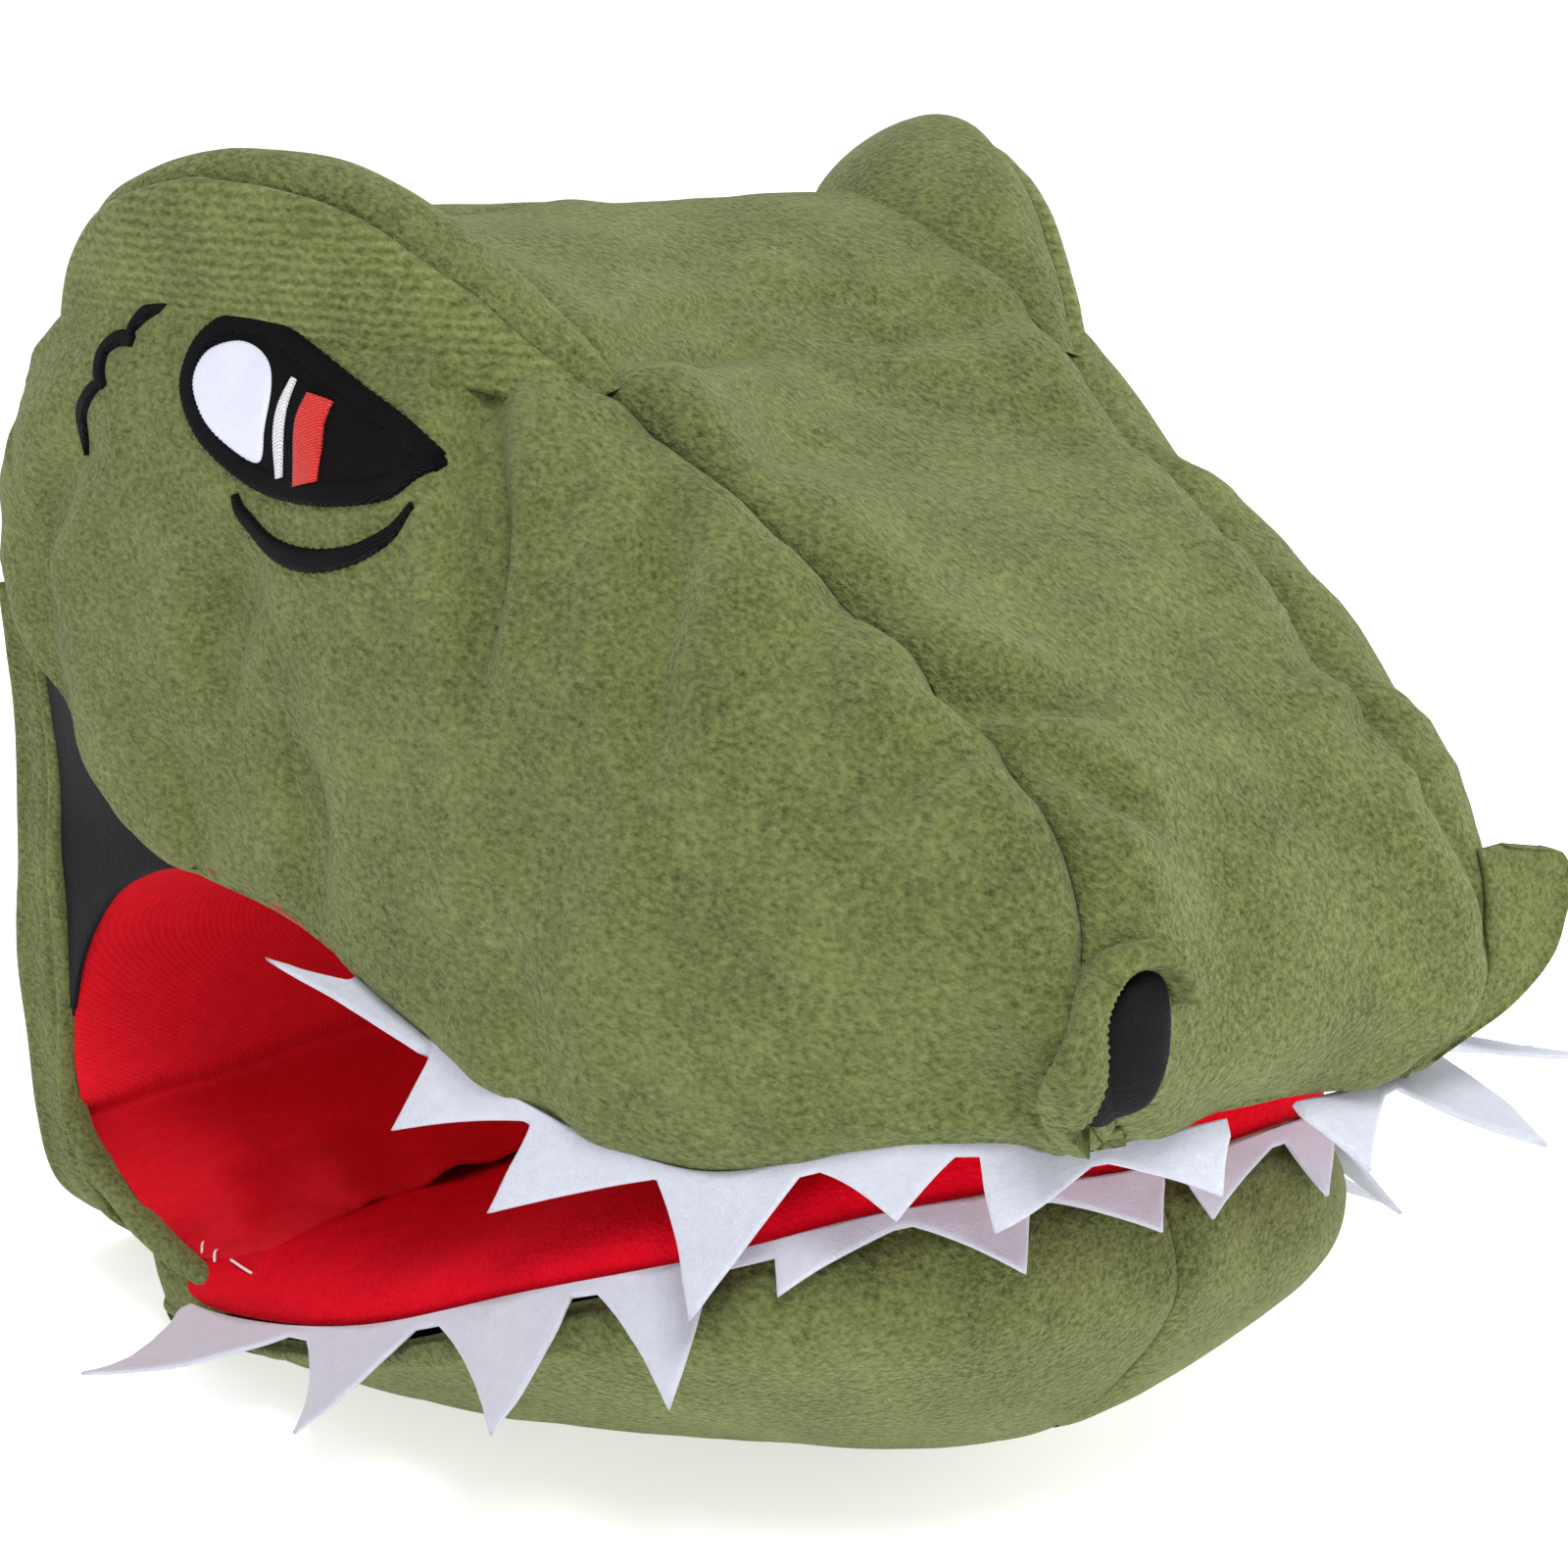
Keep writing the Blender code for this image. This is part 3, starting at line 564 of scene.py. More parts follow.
EYE_RED = (((4.80, 1.80), 6.4), ((4.80, 1.92), 6.8), ((4.775, 2.03), 7.0), ((4.745, 2.15), 6.4))
UNDER_EYE = (((5.05, 2.37), 1.5), ((5.01, 2.43), 3.2), ((4.87, 2.475), 4.2), ((4.70, 2.42), 4.4), ((4.53, 2.28), 3.6),
             ((4.41, 2.10), 2.8), ((4.34, 1.93), 1.2))
SCALLOPS = ((((5.47, 1.64), 1.0), ((5.56, 1.655), 2.6), ((5.65, 1.72), 3.4), ((5.71, 1.84), 2.6),
             ((5.70, 1.92), 1.6)),
            (((5.68, 1.925), 2.2), ((5.77, 1.925), 3.4), ((5.84, 2.01), 3.6), ((5.82, 2.12), 3.2),
             ((5.76, 2.19), 1.6)),
            (((5.77, 2.17), 1.6), ((5.83, 2.21), 2.8), ((5.92, 2.33), 3.0), ((5.945, 2.43), 2.4),
             ((5.93, 2.52), 0.8)))


SUNK = 1.0     # depth in mm that patches and stitched lines reach into the plush


def closed(loop, count):
    """Smooth closed curve through (t, v) places."""
    pts = np.asarray(loop, float)
    n = len(pts)
    s = np.linspace(0, n, count, endpoint=False)
    i = s.astype(int)
    return cubic(pts[i - 1], pts[i % n], pts[(i + 1) % n], pts[(i + 2) % n], (s - i)[:, None])


def patch(loop, side, lift, height, rings=16, count=150):
    """Points and faces of a sewn patch with a rolled edge, filling a closed curve of (t, v) places."""
    edge = closed(loop, count)
    centre = edge.mean(0)
    share = steps(0.0001, 1, rings) ** 0.7
    tv = centre + (edge - centre)[None] * share[:, None, None]
    ring_share = np.repeat(share, count)
    t, v = tv[..., 0].ravel(), tv[..., 1].ravel() * side
    rim = clamp(1 - ring_share ** 14) ** 0.5
    jag = 0.12 * np.sin(np.tile(np.arange(count), rings) * 2.9) * (ring_share > 0.98)
    top = head_skin(t, v, lift + height * rim + jag)
    low = head_skin(t, v, -SUNK)
    points = np.vstack([top, low])
    faces = []
    for r in range(rings - 1):
        for k in range(count):
            m = (k + 1) % count
            faces.append((r * count + k, (r + 1) * count + k, (r + 1) * count + m, r * count + m))
    total, rim_ring = rings * count, (rings - 1) * count
    faces += [tuple(x + total for x in f[::-1]) for f in faces]
    for k in range(count):
        a, b = rim_ring + k, rim_ring + (k + 1) % count
        faces.append((a, a + total, b + total, b))
    faces += [tuple(range(count)), tuple(x + total for x in range(count))[::-1]]
    if side < 0:
        faces = [f[::-1] for f in faces]
    return points, faces


def ribbon(line, side, lift, height, count=90, columns=9):
    """Points and faces of a satin-stitched line: (t, v) places with widths in mm, domed across."""
    places = np.array([p for p, _ in line], float)
    widths = np.array([w for _, w in line], float)
    s = steps(0, len(line) - 1, count)
    tv = spline(places, s)
    half = np.maximum(spline(widths, s)[:, 0], 0.5) / 2
    half = half * (1 + 0.06 * np.sin(np.arange(count) * 2.3))
    mid = head_point(tv[:, 0], tv[:, 1])
    along = unit(np.gradient(mid, axis=0))
    n = facing(head_point, tv[:, 0], tv[:, 1], spline(MIDDLE, tv[:, 0]))
    cross = np.cross(n, along)
    dt = (head_point(tv[:, 0] + 0.01, tv[:, 1]) - mid) / 0.01
    dv = (head_point(tv[:, 0], tv[:, 1] + 0.01) - mid) / 0.01
    aa, ab, bb = (dt * dt).sum(1), (dt * dv).sum(1), (dv * dv).sum(1)
    det = aa * bb - ab * ab
    rows = []
    for q in steps(-1, 1, columns):
        # Each step across is solved as dt * a + dv * b in the tangent plane.
        step = cross * (half * q)[:, None]
        ra, rb = (step * dt).sum(1), (step * dv).sum(1)
        a, b = (ra * bb - rb * ab) / det, (rb * aa - ra * ab) / det
        rows.append((tv[:, 0] + a, tv[:, 1] + b))
    t = np.stack([r[0] for r in rows], 1).ravel()
    v = np.stack([r[1] for r in rows], 1).ravel() * side
    dome = np.sqrt(clamp(1 - np.tile(steps(-1, 1, columns), count) ** 4))
    return slab_data(np.arange(count), np.arange(columns), lambda _u, _v: head_skin(t, v, lift + height * dome),
                     lambda _u, _v: head_skin(t, v, -SUNK))


# The raised band round the eye runs a little inside the outline and is 4.2 mm wide.
outline = np.asarray(EYE_OUTLINE, float)
inset = outline.mean(0) + (outline - outline.mean(0)) * np.array([0.955, 0.90])
EYE_BAND = [(tuple(place), 4.2) for place in np.vstack([inset, inset[:1]])]
for word, side in SIDES:
    make_joined("eye_outline_satin_" + word,
                [patch(EYE_OUTLINE, side, 0.25, 0.5), ribbon(EYE_BAND, side, 0.7, 0.5, count=260),
                 *[ribbon(piece, side, 0.1, 0.9) for piece in SCALLOPS], ribbon(UNDER_EYE, side, 0.1, 0.9)],
                SATIN_BLACK, HEAD, ("eye_outline_" + word,))
    make_joined("eye_white_patch_" + word, [patch(EYE_PATCH, side, 1.0, 0.35)], EYE_WHITE, HEAD,
                ("eye_white_" + word,))
    make_joined("eye_white_stripe_" + word, [ribbon(EYE_STRIPE, side, 0.9, 0.6)], SATIN_WHITE, HEAD, ())
    make_joined("eye_red_satin_" + word, [ribbon(EYE_RED, side, 0.9, 0.7, columns=15)], SATIN_RED, HEAD,
                ("eye_iris_" + word,))

# ---------------------------------------------------------------- nostril flaps

def nostril(s, r, depth):
    """The left flap, which stands up: s from the lip up to the top of the nostril, r from the sewn
    foot to the free rim; depth in mm behind its face."""
    t = 0.15 + 1.5 * s
    foot = head_skin(t, np.full_like(t, 1.12), GAP, relief=0.5, edges=False)
    rise = np.interp(s, (0, 0.25, 0.6, 0.82, 0.94, 1), (1.0, 6.0, 12.5, 16.0, 13.5, 4.0))
    out, front = unit(np.array([0.97, -0.22, 0.12])), unit(np.array([-0.22, -0.97, 0]))
    point = foot + out * (rise * np.sin(0.5 * np.pi * r) + 0.3)[:, None]
    point += np.array([1.5, 0.5, 0]) * (r * r)[:, None]
    roll = 1.2 * bell((1 - r) * 10, 2.0) * (depth == 0)
    return point + front * (roll - depth)[:, None]


slab("nostril_flap_skin_left", steps(0, 1, 60), steps(0, 1, 24), lambda s, r: nostril(s, r, 0),
     lambda s, r: nostril(s, r, CLOTH), PLUSH, HEAD, ("nostril_flap_left",))
slab("nostril_lining_skin_left", steps(0.05, 0.95, 50), steps(0.05, 0.93, 20),
     lambda s, r: nostril(s, r, CLOTH + 0.2), lambda s, r: nostril(s, r, CLOTH + 1.1),
     FLEECE, HEAD, ("nostril_lining_left",))

# On the right the nostril is pressed open: its black lining, and the rolled plush rim round it.
NOSTRIL_PATCH = ((0.34, 1.55), (0.58, 1.40), (0.90, 1.17), (1.15, 1.02), (1.31, 0.90), (1.38, 0.78), (1.30, 0.72),
                 (1.10, 0.71), (0.81, 0.77), (0.50, 0.90), (0.34, 1.15))
NOSTRIL_RIM = (((0.30, 1.98), 2.0), ((0.62, 1.66), 4.2), ((0.92, 1.36), 4.8), ((1.25, 1.12), 5.0),
               ((1.42, 0.95), 4.8), ((1.45, 0.80), 4.2), ((1.37, 0.705), 3.2), ((1.20, 0.655), 2.0))
make_joined("nostril_flap_skin_right", [ribbon(NOSTRIL_RIM, -1, 0.4, 6.0, count=120, columns=15)], PLUSH, HEAD,
            ("nostril_flap_right",))
make_joined("nostril_lining_skin_right", [patch(NOSTRIL_PATCH, -1, 0.3, 0.9)], FLEECE, HEAD,
            ("nostril_lining_right",))

# ---------------------------------------------------------------- felt teeth

UPPER_PATH = (CENTRE[0],) + LIP[:7]
# Of each tooth: start, end and tip in mm along the lip or the rim, its length in mm, the outward share
# of its fall, and its curl.
UPPER_NEAR = ((8, 30, 12, 9, 0.5, 0), (33, 52, 50, 12, 0.5, 0), (56, 80, 64, 10, 0.45, 0), (84, 113, 98, 22, 0.40, 1),
              (114, 142, 145, 16, 0.36, 1), (144, 170, 173, 14, 0.32, 1), (171, 195, 213, 6, 0.93, 0))
UPPER_FAR = ((8, 30, 14, 12, 0.75, 0), (33, 52, 40, 24, 0.93, 0), (56, 80, 66, 29, 0.975, 0.3),
             (84, 113, 92, 30, 0.95, 1), (114, 142, 145, 16, 0.5, 1), (144, 170, 173, 14, 0.4, 1),
             (171, 197, 206, 9, 0.3, 0))
LOWER = ((2, 24, 5, 8, 0.50, 0), (28, 47, 30, 11, 0.55, 0), (50, 70, 69, 7, 0.60, 0), (82, 106, 80, 24, 0.60, 0),
         (112, 148, 107, 29, 0.70, 0.5), (155, 191, 160, 26, 0.80, 0.8), (197, 243, 215, 32, 0.955, 1.4))


def teeth(name, path, spec, side, tuck, body, replaces):
    """One strip of felt teeth along a path; tuck is how far out and up its sewn edge lies from the path."""
    places = np.arange(0, len(path) - 1 + 1e-9, 0.02)
    pieces = np.linalg.norm(np.diff(spline(path, places), axis=0), axis=1)
    lengths = np.concatenate([[0], np.cumsum(pieces)])
    columns = []
    for start, end, tip, length, lean, curl in spec:
        half = max(7, int((end - start) / 2.2))
        for a in (0, 1):
            q = steps(0, 1, half) if a == 0 else steps(1, 0, half)[1:]
            for x in q:
                base = start + (end - start) / 2 * x if a == 0 else end - (end - start) / 2 * x
                edge = start + (tip - start) * x if a == 0 else end + (tip - end) * x
                columns.append((base, edge - base, length * (0.72 * x + 0.28 * x * x), lean, curl))
    table = np.array(columns)

    def surface(c, r, depth):
        base, slant, length, lean, curl = table[c.astype(int)].T
        place = np.interp(base, lengths, places)
        point = spline(path, place)
        run = unit(spline(path, place + 0.05) - spline(path, place - 0.05))
        out = unit(xyz(run[:, 1], -run[:, 0], 0 * base))
        out[(out[:, 0] * point[:, 0] + out[:, 1] * (point[:, 1] + 40)) < 0] *= -1
        down = np.sqrt(1 - lean ** 2)
        fall = unit(out * lean[:, None] - np.array([0, 0, 1.0]) * down[:, None])
        face = unit(xyz(out[:, 0] * down, out[:, 1] * down, lean))
        root = point + out * tuck[0] + np.array([0, 0, tuck[1]])
        reach = (STRIP + length) * r
        p = root + fall * reach[:, None] + run * (slant * r)[:, None]
        wave = 0.5 * noise(flip(p, side), 12.0, 1) + 0.25 * noise(flip(p, side), 5.0, 2)
        bend = (curl * 2.2 * (reach / 20) ** 2 + wave * r) - depth
        rim = bell((1 - r) * np.maximum(STRIP + length, 3), 0.5) * 0.3 * np.sign(depth - FELT / 2)
        return flip(p + face * (bend + rim)[:, None], side)

    return slab(name, np.arange(len(table)), steps(0, 1, 16), lambda c, r: surface(c, r, 0.0),
                lambda c, r: surface(c, r, FELT), FELT_WHITE, body, replaces)


teeth("upper_teeth_felt_right", UPPER_PATH, UPPER_NEAR, -1, (-1.8, 0.9), HEAD, ("upper_teeth_right",))
teeth("upper_teeth_felt_left", UPPER_PATH, UPPER_FAR, 1, (-1.8, 0.9), HEAD, ("upper_teeth_left",))
teeth("lower_teeth_felt_right", RIM, LOWER, -1, (1.3, 2.3), JAW, ("lower_teeth_right",))
teeth("lower_teeth_felt_left", RIM, LOWER, 1, (1.3, 2.3), JAW, ("lower_teeth_left",))

# ---------------------------------------------------------------- lower jaw

def rear_pull(t):
    """Share of the jaw's width that is left where it draws in behind the mouth's corner."""
    a = clamp((t - 6.75) / 0.8)
    return 1 - 0.14 * a * a * (3 - 2 * a)


def jaw_skin(t, w, side, lift=0.0, relief=1.0):
    """Displaced plush surface of the jaw, `lift` mm outside it; it stays on its side and on the table."""
    t_in, w_in = np.clip(t, 0.06, 7.94), np.clip(w, 0.04, 2.9)
    inside = xyz(0 * t, spline(KEEL, t_in)[:, 1] + 20, spline(RIM, t_in)[:, 2] * 0.7 + 6)
    n = facing(jaw_point, t_in, w_in, inside)
    base = jaw_point(t, w)
    base[:, 0] *= rear_pull(t)
    world = flip(base, side)
    move = np.zeros(len(t))
    if relief:
        rim = w * mm_across(jaw_point, t, w, 3)
        keel = base[:, 0]
        move += 0.9 * noise(world, 34.0, 0) + 0.4 * noise(world, 14.0, 1) + 0.15 * noise(world, 6.0, 2)
        move -= 2.2 * bell(rim, 2.4)
        move -= np.clip(1.9 - 0.25 * t, 0.3, 1.9) * bell(keel, 2.8, 1.4)
        move += 0.8 * bell(rim - 9, 6)
    point = base + n * (move + lift)[:, None]
    point[:, 0] = np.maximum(point[:, 0], 0.1)
    point[:, 2] = np.maximum(point[:, 2], 0.0 if lift >= 0 else min(-lift, 1.6))
    return flip(point, side)


for word, side in SIDES:
    slab("jaw_skin_" + word, steps(0, 8, 230), steps(0, 3, 80), lambda t, w: jaw_skin(t, w, side),
         lambda t, w: jaw_skin(t, w, side, -JAW_DEPTH, relief=0), PLUSH, JAW, ("jaw_panel_" + word,))


GUM_END = 6.95     # station where the gum pad ends, in front of the mouth's corner


def gum(t, r, inset, lift):
    """Crowned surface inside the rim: r from -1 to 1 across."""
    point = spline(RIM, t)
    crown = 9.0 * (1 - r * r) * np.minimum(t / 4, 1.0)
    half = np.maximum(point[:, 0] - inset, 1.0)
    return xyz(r * half, point[:, 1] + inset * 0.6, point[:, 2] + crown + lift)


def gum_waist(t):
    """Share of the pad's width that is left where it draws in towards its end."""
    return 1 - 0.045 * clamp((t - 6.35) / 0.6) ** 2.5


def gum_top(t, r):
    ends = clamp(np.minimum(t - 0.1, 1.0)) ** 0.5 * clamp((GUM_END + 0.02 - t) / 0.30) ** 0.5
    steep = (1 - np.abs(r) ** 9) ** 0.5
    flat = gum(t, r, 0.5, 3.0 + 9.6 * steep * ends)
    flat[:, 2] += (0.9 * noise(flat, 26.0, 1) + 0.5 * noise(flat, 11.0, 2)) * steep
    flat[:, 0] *= gum_waist(t)
    return flat


def gum_low(t, r):
    flat = gum(t, r, 1.2, 1.6)
    flat[:, 0] *= gum_waist(t)
    return flat


def edge_steps(count):
    """From -1 to 1, closer together towards both edges."""
    return np.sin(steps(-0.5, 0.5, count) * np.pi)


gum_pad = slab("gum_pad_fleece", steps(0.2, GUM_END, 190), edge_steps(96), gum_top, gum_low, GUM_RED, JAW,
               ("gum_pad",))


def jaw_core(t, v, share):
    """Stuffing of the jaw's left half: share 0 lies under the plush, 1 on the middle line."""
    base = jaw_skin(t, v, 1, -4.0, relief=0)
    middle = xyz(0 * t, spline(KEEL, t)[:, 1] + 12, np.maximum(spline(RIM, t)[:, 2] * 0.45, 8.0))
    return base + (middle - base) * share


stuffing = slab("jaw_stuffing", steps(0.4, 6.2, 60), steps(0.35, 2.7, 30), lambda t, v: jaw_core(t, v, 0.0),
                lambda t, v: jaw_core(t, v, 0.3), WADDING, JAW, ("jaw_wadding",))

# ---------------------------------------------------------------- mouth cloths

def table_surface(rows, u, r):
    """Surface over rows of places: each row is (centre point, edge point); r from -1 to 1."""
    centre = spline([a for a, _ in rows], u)
    edge = spline([b for _, b in rows], u)
    a = np.abs(r)
    x = r * edge[:, 0]
    y = centre[:, 1] + (edge[:, 1] - centre[:, 1]) * a ** 3
    z = centre[:, 2] + (edge[:, 2] - centre[:, 2]) * a ** 3
    return xyz(x, y, z)


LIP_STATIONS = (0.12, 0.6, 1.2, 2.0, 3.0, 4.0, 4.9, 5.7)
lip_edge = spline(LIP, np.array(LIP_STATIONS))
MOUTH = [((0, float(p[1]) + 3, 94.0 + 3.0 * math.sin(math.pi * min(k / 7, 1))),
          (float(p[0]) - 3.5, float(p[1]) + 1.5, float(p[2]) + 1.5)) for k, p in enumerate(lip_edge)]
MOUTH += [((0, 88, 94), (88.0, 88, 98.0)), ((0, 104, 86), (88.5, 108, 90.0)), ((0, 114, 74), (89.0, 122, 77.0)),
          ((0, 117, 62), (89.0, 128, 62.0)), ((0, 115, 50), (89.5, 130.5, 48.0)), ((0, 107, 41), (89.5, 124, 35.5)),
          ((0, 96, 38), (89.0, 110, 25.5)), ((0, 84, 38), (88.0, 92, 20.0)), ((0, 70, 38), (85.5, 73, 18.0)),
          ((0, 58, 38), (80.0, 58, 19.0))]


def gum_height(x, y):
    """Top of the gum pad under a place, or a low value off the pad."""
    rim_y = [p[1] for p in RIM]
    t = np.interp(y, rim_y, range(9))
    half = np.maximum(spline(RIM, t)[:, 0] - 0.5, 1)
    r = np.clip(x / half, -1, 1)
    return np.where(t < GUM_END, gum_top(np.clip(t, 0.2, GUM_END - 0.3), r)[:, 2], -50)


def mouth(u, r):
    """The red twill from the upper lip over the palate, down the throat and out over the gum pad."""
    p = table_surface(MOUTH, u, r)
    side = np.abs(r)
    low = clamp((u - 10) / 2)
    p[:, 2] += 1.2 * noise(p, 30.0, 0) + 0.5 * noise(p, 12.0, 1)
    fold = 12.4 + 0.9 * side ** 2
    p[:, 1] += 9.0 * bell(u - fold, 0.42) * (0.45 + 0.55 * side)
    p[:, 1] -= 5.5 * bell(u - fold - 0.95, 0.5)
    p[:, 1] -= 3.0 * bell(u - fold + 1.0, 0.7)
    ripple = clamp((u - 13) / 1.5) * clamp((18.5 - u) / 1.5)
    p[:, 2] += ripple * (2.2 * np.sin(26 * r + 1.6 * u) * side + 1.6 * noise(p, 13.0, 3))
    p[:, 1] += low * side ** 6 * 1.0 * noise(p, 14.0, 3)
    p[:, 0] = np.sign(r) * np.minimum(np.abs(p[:, 0]) + low * side ** 8 * 0.8 * noise(p, 9.0, 2), 90.2)
    p[:, 2] = np.where(u > 13.5, np.maximum(p[:, 2], gum_height(p[:, 0], p[:, 1]) + 0.7), p[:, 2])
    return p


def thick(surface, depth, step=0.01):
    """The same surface moved by depth along its normal."""
    def moved(u, r):
        a = surface(u + step, r) - surface(u - step, r)
        b = surface(u, r + step) - surface(u, r - step)
        return surface(u, r) + unit(np.cross(b, a)) * depth
    return moved


twill = slab("mouth_twill", steps(0, len(MOUTH) - 1, 250), edge_steps(120), mouth, thick(mouth, LINING),
             TWILL_RED, None, ("palate_lining", "throat_lining_upper", "throat_lining_lower"))
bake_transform(twill)


CORNER_EDGE = ((88.5, 70, 102.0), (88.8, 90, 97.5), (89.2, 108, 90.0), (89.6, 122, 77.0), (89.6, 131, 60.0))


def corner(a, b, side):
    """Black triangle between the twill's slanting edge and the lip: a from its tip to the band."""
    low = spline(CORNER_EDGE, 4 * a)
    high = spline(LIP, 5.65 + 2.3 * a) + np.array([-2.5, 0, 1.5])
    p = low + (high - low) * b[:, None]
    p[:, 0] -= 12.0 * np.sin(np.pi * clamp(b)) * a * (1 - a)
    p[:, 0] += 0.7 * noise(flip(p, side), 14.0, 1) * np.sin(np.pi * b)
    return flip(p, side)


for word, side in SIDES:
    def cloth(a, b):
        return corner(a, b, side)
    fleece = slab("corner_fleece_" + word, steps(0.02, 1.05, 60), steps(-0.06, 1.03, 40), cloth,
                  shifted(cloth, -side * LINING, 0, 0), FLEECE, None, ("corner_lining_" + word,))
    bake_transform(fleece)

# Rolled plush edge from the mouth's corner down and forward round the gum pad
EDGE_ROLL = ((89.5, 131, 60), (90.3, 131, 46), (90.6, 125, 35), (90.0, 112, 26), (89.0, 96, 20.5),
             (87.6, 80, 17.5), (85.5, 66, 16), (80.0, 57, 17))
for word, side in SIDES:
    roll_line = spline(EDGE_ROLL, steps(0, len(EDGE_ROLL) - 1, 90))
    roll_line = flip(roll_line, side) + np.outer(noise(roll_line + side, 14.0, 1), (0.4, 0, 0.5))
    width = 3.0 * np.clip(np.sin(np.pi * steps(0.1, 0.93, 90)), 0.3, 1) ** 0.5
    width += 0.3 * noise(roll_line, 7.0, 2)
    roll = make_joined("corner_roll_" + word, [tube_data(roll_line, width, 14)], PLUSH, None, ())
    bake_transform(roll)


def gusset(a, b, side, depth=0.0):
    """Plush between the rolled edge and the jaw's rim: a along the roll, b from the roll down."""
    top = spline(EDGE_ROLL, 0.8 + (len(EDGE_ROLL) - 2.6) * a)
    place = np.interp(top[:, 1], [p[1] for p in RIM], range(9))
    rim_point = spline(RIM, place)
    low = xyz(rim_point[:, 0] * rear_pull(place) + 0.8, top[:, 1], rim_point[:, 2] - 2.2)
    p = top + (low - top) * b[:, None]
    p[:, 0] += 1.5 * np.sin(np.pi * b) - 0.6 - depth
    p[:, 0] += 0.8 * noise(p, 13.0, 2) * np.sin(np.pi * b)
    return flip(p, side)


for word, side in SIDES:
    gusset_piece = slab("corner_gusset_" + word, steps(0, 1, 70), steps(0, 1, 30), lambda a, b: gusset(a, b, side),
                        lambda a, b: gusset(a, b, side, CLOTH), PLUSH, None, ())
    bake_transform(gusset_piece)


def backing(z, r):
    """Black sheet behind the throat, seen from the neck opening."""
    bend = (z - 58.0) / 40.0
    back = 133.5 - 6.0 * bend * bend + 0.5 * np.sin(z * 0.3)
    return xyz(r * (86.5 - 12 * clamp((22 - z) / 20)), back, z)


behind = slab("throat_backing", steps(9, 109, 70), steps(-1, 1, 70), backing, shifted(backing, 0, LINING, 0),
              FLEECE, None, ("hinge_tape",))
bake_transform(behind)

# ---------------------------------------------------------------- neck band and linings


def band(p, q, depth):
    """p runs from -8 (top corner, left) under the jaw to 8; q from the front edge to the rear."""
    place = 8 - np.abs(p)
    side = np.where(p > 0, -1.0, 1.0)
    prof = spline([(b[0], b[3], 0) for b in BAND], place)
    edges = spline([(b[1], b[2], 0) for b in BAND], place)
    flat = [(b[0], 0, b[3]) for b in BAND]
    run = spline(flat, place + 0.05) - spline(flat, place - 0.05)
    out = unit(xyz(-run[:, 2], 0 * q, run[:, 0]))
    width = edges[:, 1] - edges[:, 0]
    base = xyz(prof[:, 0], edges[:, 0] + width * q, prof[:, 1])
    mirror = xyz(side, np.ones_like(side), np.ones_like(side))
    world = base * mirror
    roll = 1.5 * bell((q - 0.12) * width, 2.6) + 1.1 * bell((0.9 - q) * width, 2.4)
    crease = 0.9 * bell((q - 0.36) * width, 1.6)
    lift = (roll - crease + 0.7 * noise(world, 22.0, 0) + 0.3 * noise(world, 9.0, 1)) * (depth == 0)
    lift = lift * np.clip(base[:, 2] / 12, 0.1, 1)
    point = base + out * (lift - depth)[:, None]
    point[:, 1] += (1.0 * noise(world, 26.0, 2)) * (1 - q)
    point[:, 2] = np.maximum(point[:, 2], depth)
    return point * mirror


neck = slab("neck_band_plush", steps(-8, 8, 300), steps(0, 1, 26), lambda p, q: band(p, q, 0.0),
            lambda p, q: band(p, q, CLOTH), PLUSH, None,
            ("neck_band_upper_left", "neck_band_upper_right", "neck_band_lower"))
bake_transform(neck)
neck_inside = slab("neck_band_fleece", steps(-8, 8, 300), steps(0.04, 0.96, 14),
                   lambda p, q: band(p, q, CLOTH + 0.2), lambda p, q: band(p, q, CLOTH + 1.1), FLEECE, None,
                   ("neck_lining_upper_left", "neck_lining_upper_right", "neck_lining_lower"))
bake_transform(neck_inside)


def core(t, v, share, depth):
    """Surface `depth` mm under the plush, moved a share of the way to the middle line of the head."""
    base = head_skin(t, v, -depth, relief=0, edges=False)
    return base + (spline(MIDDLE, t) - base) * np.broadcast_to(share, t.shape)[:, None]


def hand_cloth(u, v, depth):
    """Black lining: u 0..0.25 runs from the neck hem inwards, then forward to the fingertips."""
    inward = clamp(u / 0.25)
    t = np.where(u < 0.25, 8.0 - 0.55 * inward, 7.45 - (u - 0.25) / 0.75 * 5.85)
    share = 0.01 + 0.17 * inward ** 1.2
    p = core(t, v, share, 3.0 + 2.6 * inward + depth)
    return p + unit(spline(MIDDLE, t) - p) * (0.8 * noise(p, 24.0, 1))[:, None]


slab("hand_fleece", np.concatenate([steps(0, 0.25, 24), steps(0.26, 1, 90)]), steps(-3.2, 3.2, 110),
     lambda u, v: hand_cloth(u, v, 0.0), lambda u, v: hand_cloth(u, v, LINING), FLEECE, HEAD, ("hand_lining",))

filling = slab("head_stuffing", steps(0.5, 7.5, 70), steps(-2.7, 2.7, 80), lambda t, v: core(t, v, 0.0, 4.2),
               lambda t, v: core(t, v, 0.13, 4.2), WADDING, HEAD, ("head_wadding",))


hem_v = steps(-4, 4, 260)
hem = head_skin(np.full_like(hem_v, 8.0), hem_v, -1.2, relief=0, edges=False)
make_joined("neck_hem", [tube_data(hem, 2.0 + 0.25 * noise(hem, 9.0, 1), 12)], PLUSH, HEAD, ())


def pocket_floor(t, r):
    """Floor of the finger pocket, just above the upper mouth board."""
    point = spline(LIP, t)
    z = 101.6 + 0.5 * noise(point + r[:, None] * 40, 15.0, 1)
    return xyz(r * (point[:, 0] - 11.0), point[:, 1] + 4.0, z)


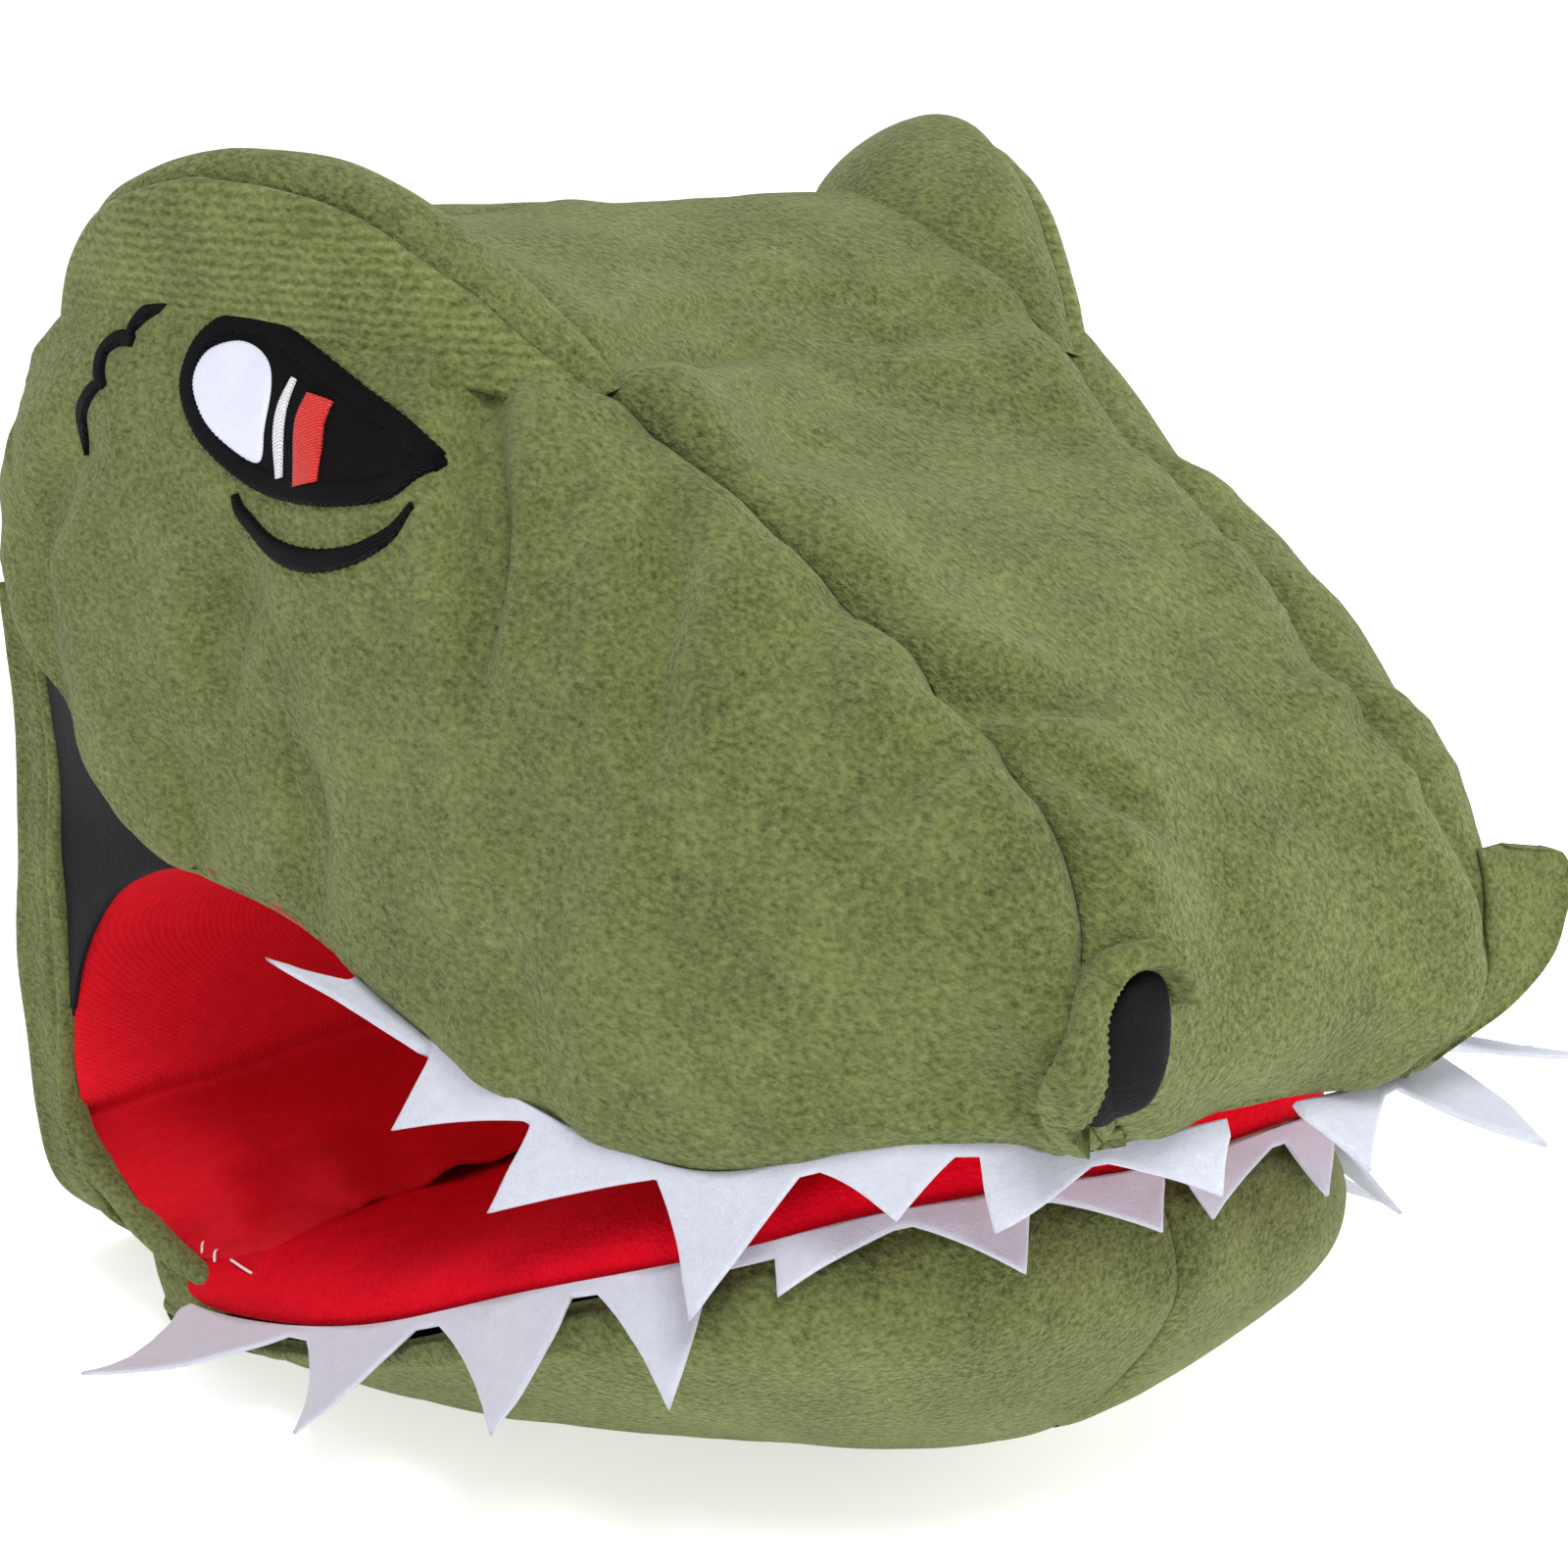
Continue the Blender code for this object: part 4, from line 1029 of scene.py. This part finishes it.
slab("pocket_fleece", steps(0.8, 7.3, 78), steps(-1, 1, 50), pocket_floor, shifted(pocket_floor, 0, 0, -LINING),
     FLEECE, HEAD, ())


def thumb_floor(y, r):
    """Floor of the thumb pocket; its edges turn up along the jaw's sides."""
    t = np.interp(y, [-14, 25, 62, 96, 128, 150], [4, 5, 6, 7, 8, 8])
    x = r * (spline(JAW_EDGE, t)[:, 0] + 6)
    return xyz(x, y, 5.0 + 7.0 * r ** 4 + 0.5 * noise(xyz(x, y, 0 * y), 18.0, 2))


slab("thumb_pocket_fleece", steps(40, 146, 50), steps(-1, 1, 50), thumb_floor, shifted(thumb_floor, 0, 0, -LINING),
     FLEECE, JAW, ())

# ---------------------------------------------------------------- hand stitches at the mouth's corners


def stitch(side, a, b, bow=0.8):
    """A short thread lying on the gum from one (t, r) place to another."""
    s = steps(0, 1, 14)
    t, r = a[0] + (b[0] - a[0]) * s, a[1] + (b[1] - a[1]) * s
    p = gum_top(t, r) + np.array([0.3, 0, 0.35]) + np.outer(np.sin(np.pi * s), (0.3, 0, bow))
    return tube_data(flip(p, side), 0.28, 6)


for word, side in SIDES:
    threads = [stitch(side, (6.95, 0.93), (6.85, 0.955)), stitch(side, (6.72, 0.93), (6.60, 0.955)),
               stitch(side, (6.50, 0.93), (6.42, 0.955)), stitch(side, (6.30, 0.94), (6.02, 0.955), 0.4)]
    make_joined("corner_stitches_" + word, threads, THREAD, JAW)

# ---------------------------------------------------------------- carried-over CAD nodes

for node in ("upper_mouth_board", "lower_mouth_board"):
    for material_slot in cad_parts[node].material_slots:
        material_slot.material = BOARD

# ---------------------------------------------------------------- an empty loop over the sides

for word, side in SIDES:
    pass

# ---------------------------------------------------------------- floor, light and camera


FLOOR_HALF, FLOOR_Z = 6, -0.0006                       # metres
LAMPS = (("key", (-0.30, -0.80, 1.10), 0.45, 10.4),    # place and size in metres, power in watts
         ("fill", (0.9, -0.6, 0.6), 0.8, 4.5),
         ("back", (0.2, 1.0, 1.1), 0.8, 5.0))


def studio():
    """White floor, surroundings brighter to the camera than to the puppet, and three lamps."""
    mesh = bpy.data.meshes.new("floor")
    corners = [(x * FLOOR_HALF, y * FLOOR_HALF, FLOOR_Z) for x, y in ((-1, -1), (1, -1), (1, 1), (-1, 1))]
    mesh.from_pydata(corners, [], [(0, 1, 2, 3)])
    floor = bpy.data.objects.new("floor", mesh)
    bpy.context.scene.collection.objects.link(floor)
    made, _, shader = nodes_of("floor")
    shader.inputs["Base Color"].default_value = (0.93, 0.93, 0.93, 1)
    shader.inputs["Roughness"].default_value = 0.9
    shader.inputs["Emission Color"].default_value = (1, 1, 1, 1)
    shader.inputs["Emission Strength"].default_value = 0.62
    mesh.materials.append(made)
    world = bpy.data.worlds.new("studio")
    world.use_nodes = True
    tree = world.node_tree
    soft = tree.nodes["Background"]
    soft.inputs["Color"].default_value = (1, 1, 1, 1)
    soft.inputs["Strength"].default_value = 0.62
    bright = tree.nodes.new("ShaderNodeBackground")
    bright.inputs["Color"].default_value = (1, 1, 1, 1)
    bright.inputs["Strength"].default_value = 1.10
    path, mix = tree.nodes.new("ShaderNodeLightPath"), tree.nodes.new("ShaderNodeMixShader")
    tree.links.new(path.outputs["Is Camera Ray"], mix.inputs[0])
    tree.links.new(soft.outputs[0], mix.inputs[1])
    tree.links.new(bright.outputs[0], mix.inputs[2])
    tree.links.new(mix.outputs[0], tree.nodes["World Output"].inputs["Surface"])
    bpy.context.scene.world = world
    bpy.context.scene.view_settings.view_transform = "Standard"
    for name, place, size, power in LAMPS:
        data = bpy.data.lights.new(name, "AREA")
        data.energy, data.size = power, size
        lamp = bpy.data.objects.new(name, data)
        lamp.location = place
        lamp.rotation_mode = "QUATERNION"
        lamp.rotation_quaternion = (Vector(place) - Vector((0, 0, 0.1))).to_track_quat("Z", "Y")
        bpy.context.scene.collection.objects.link(lamp)


studio()
camera = bpy.data.objects.new("camera", bpy.data.cameras.new("camera"))
bpy.context.scene.collection.objects.link(camera)
azimuth, elevation = math.radians(-35), math.radians(13)
level = math.cos(elevation)
back = Vector((math.sin(azimuth) * level, -math.cos(azimuth) * level, math.sin(elevation)))
camera.location = Vector((0, 0, 0.120)) + back * 0.70
camera.rotation_mode = "QUATERNION"
camera.rotation_quaternion = (-back).to_track_quat("-Z", "Y")
camera.data.lens, camera.data.sensor_width = 85, 36
camera.data.clip_start, camera.data.clip_end = 0.01, 50
bpy.context.scene.camera = camera
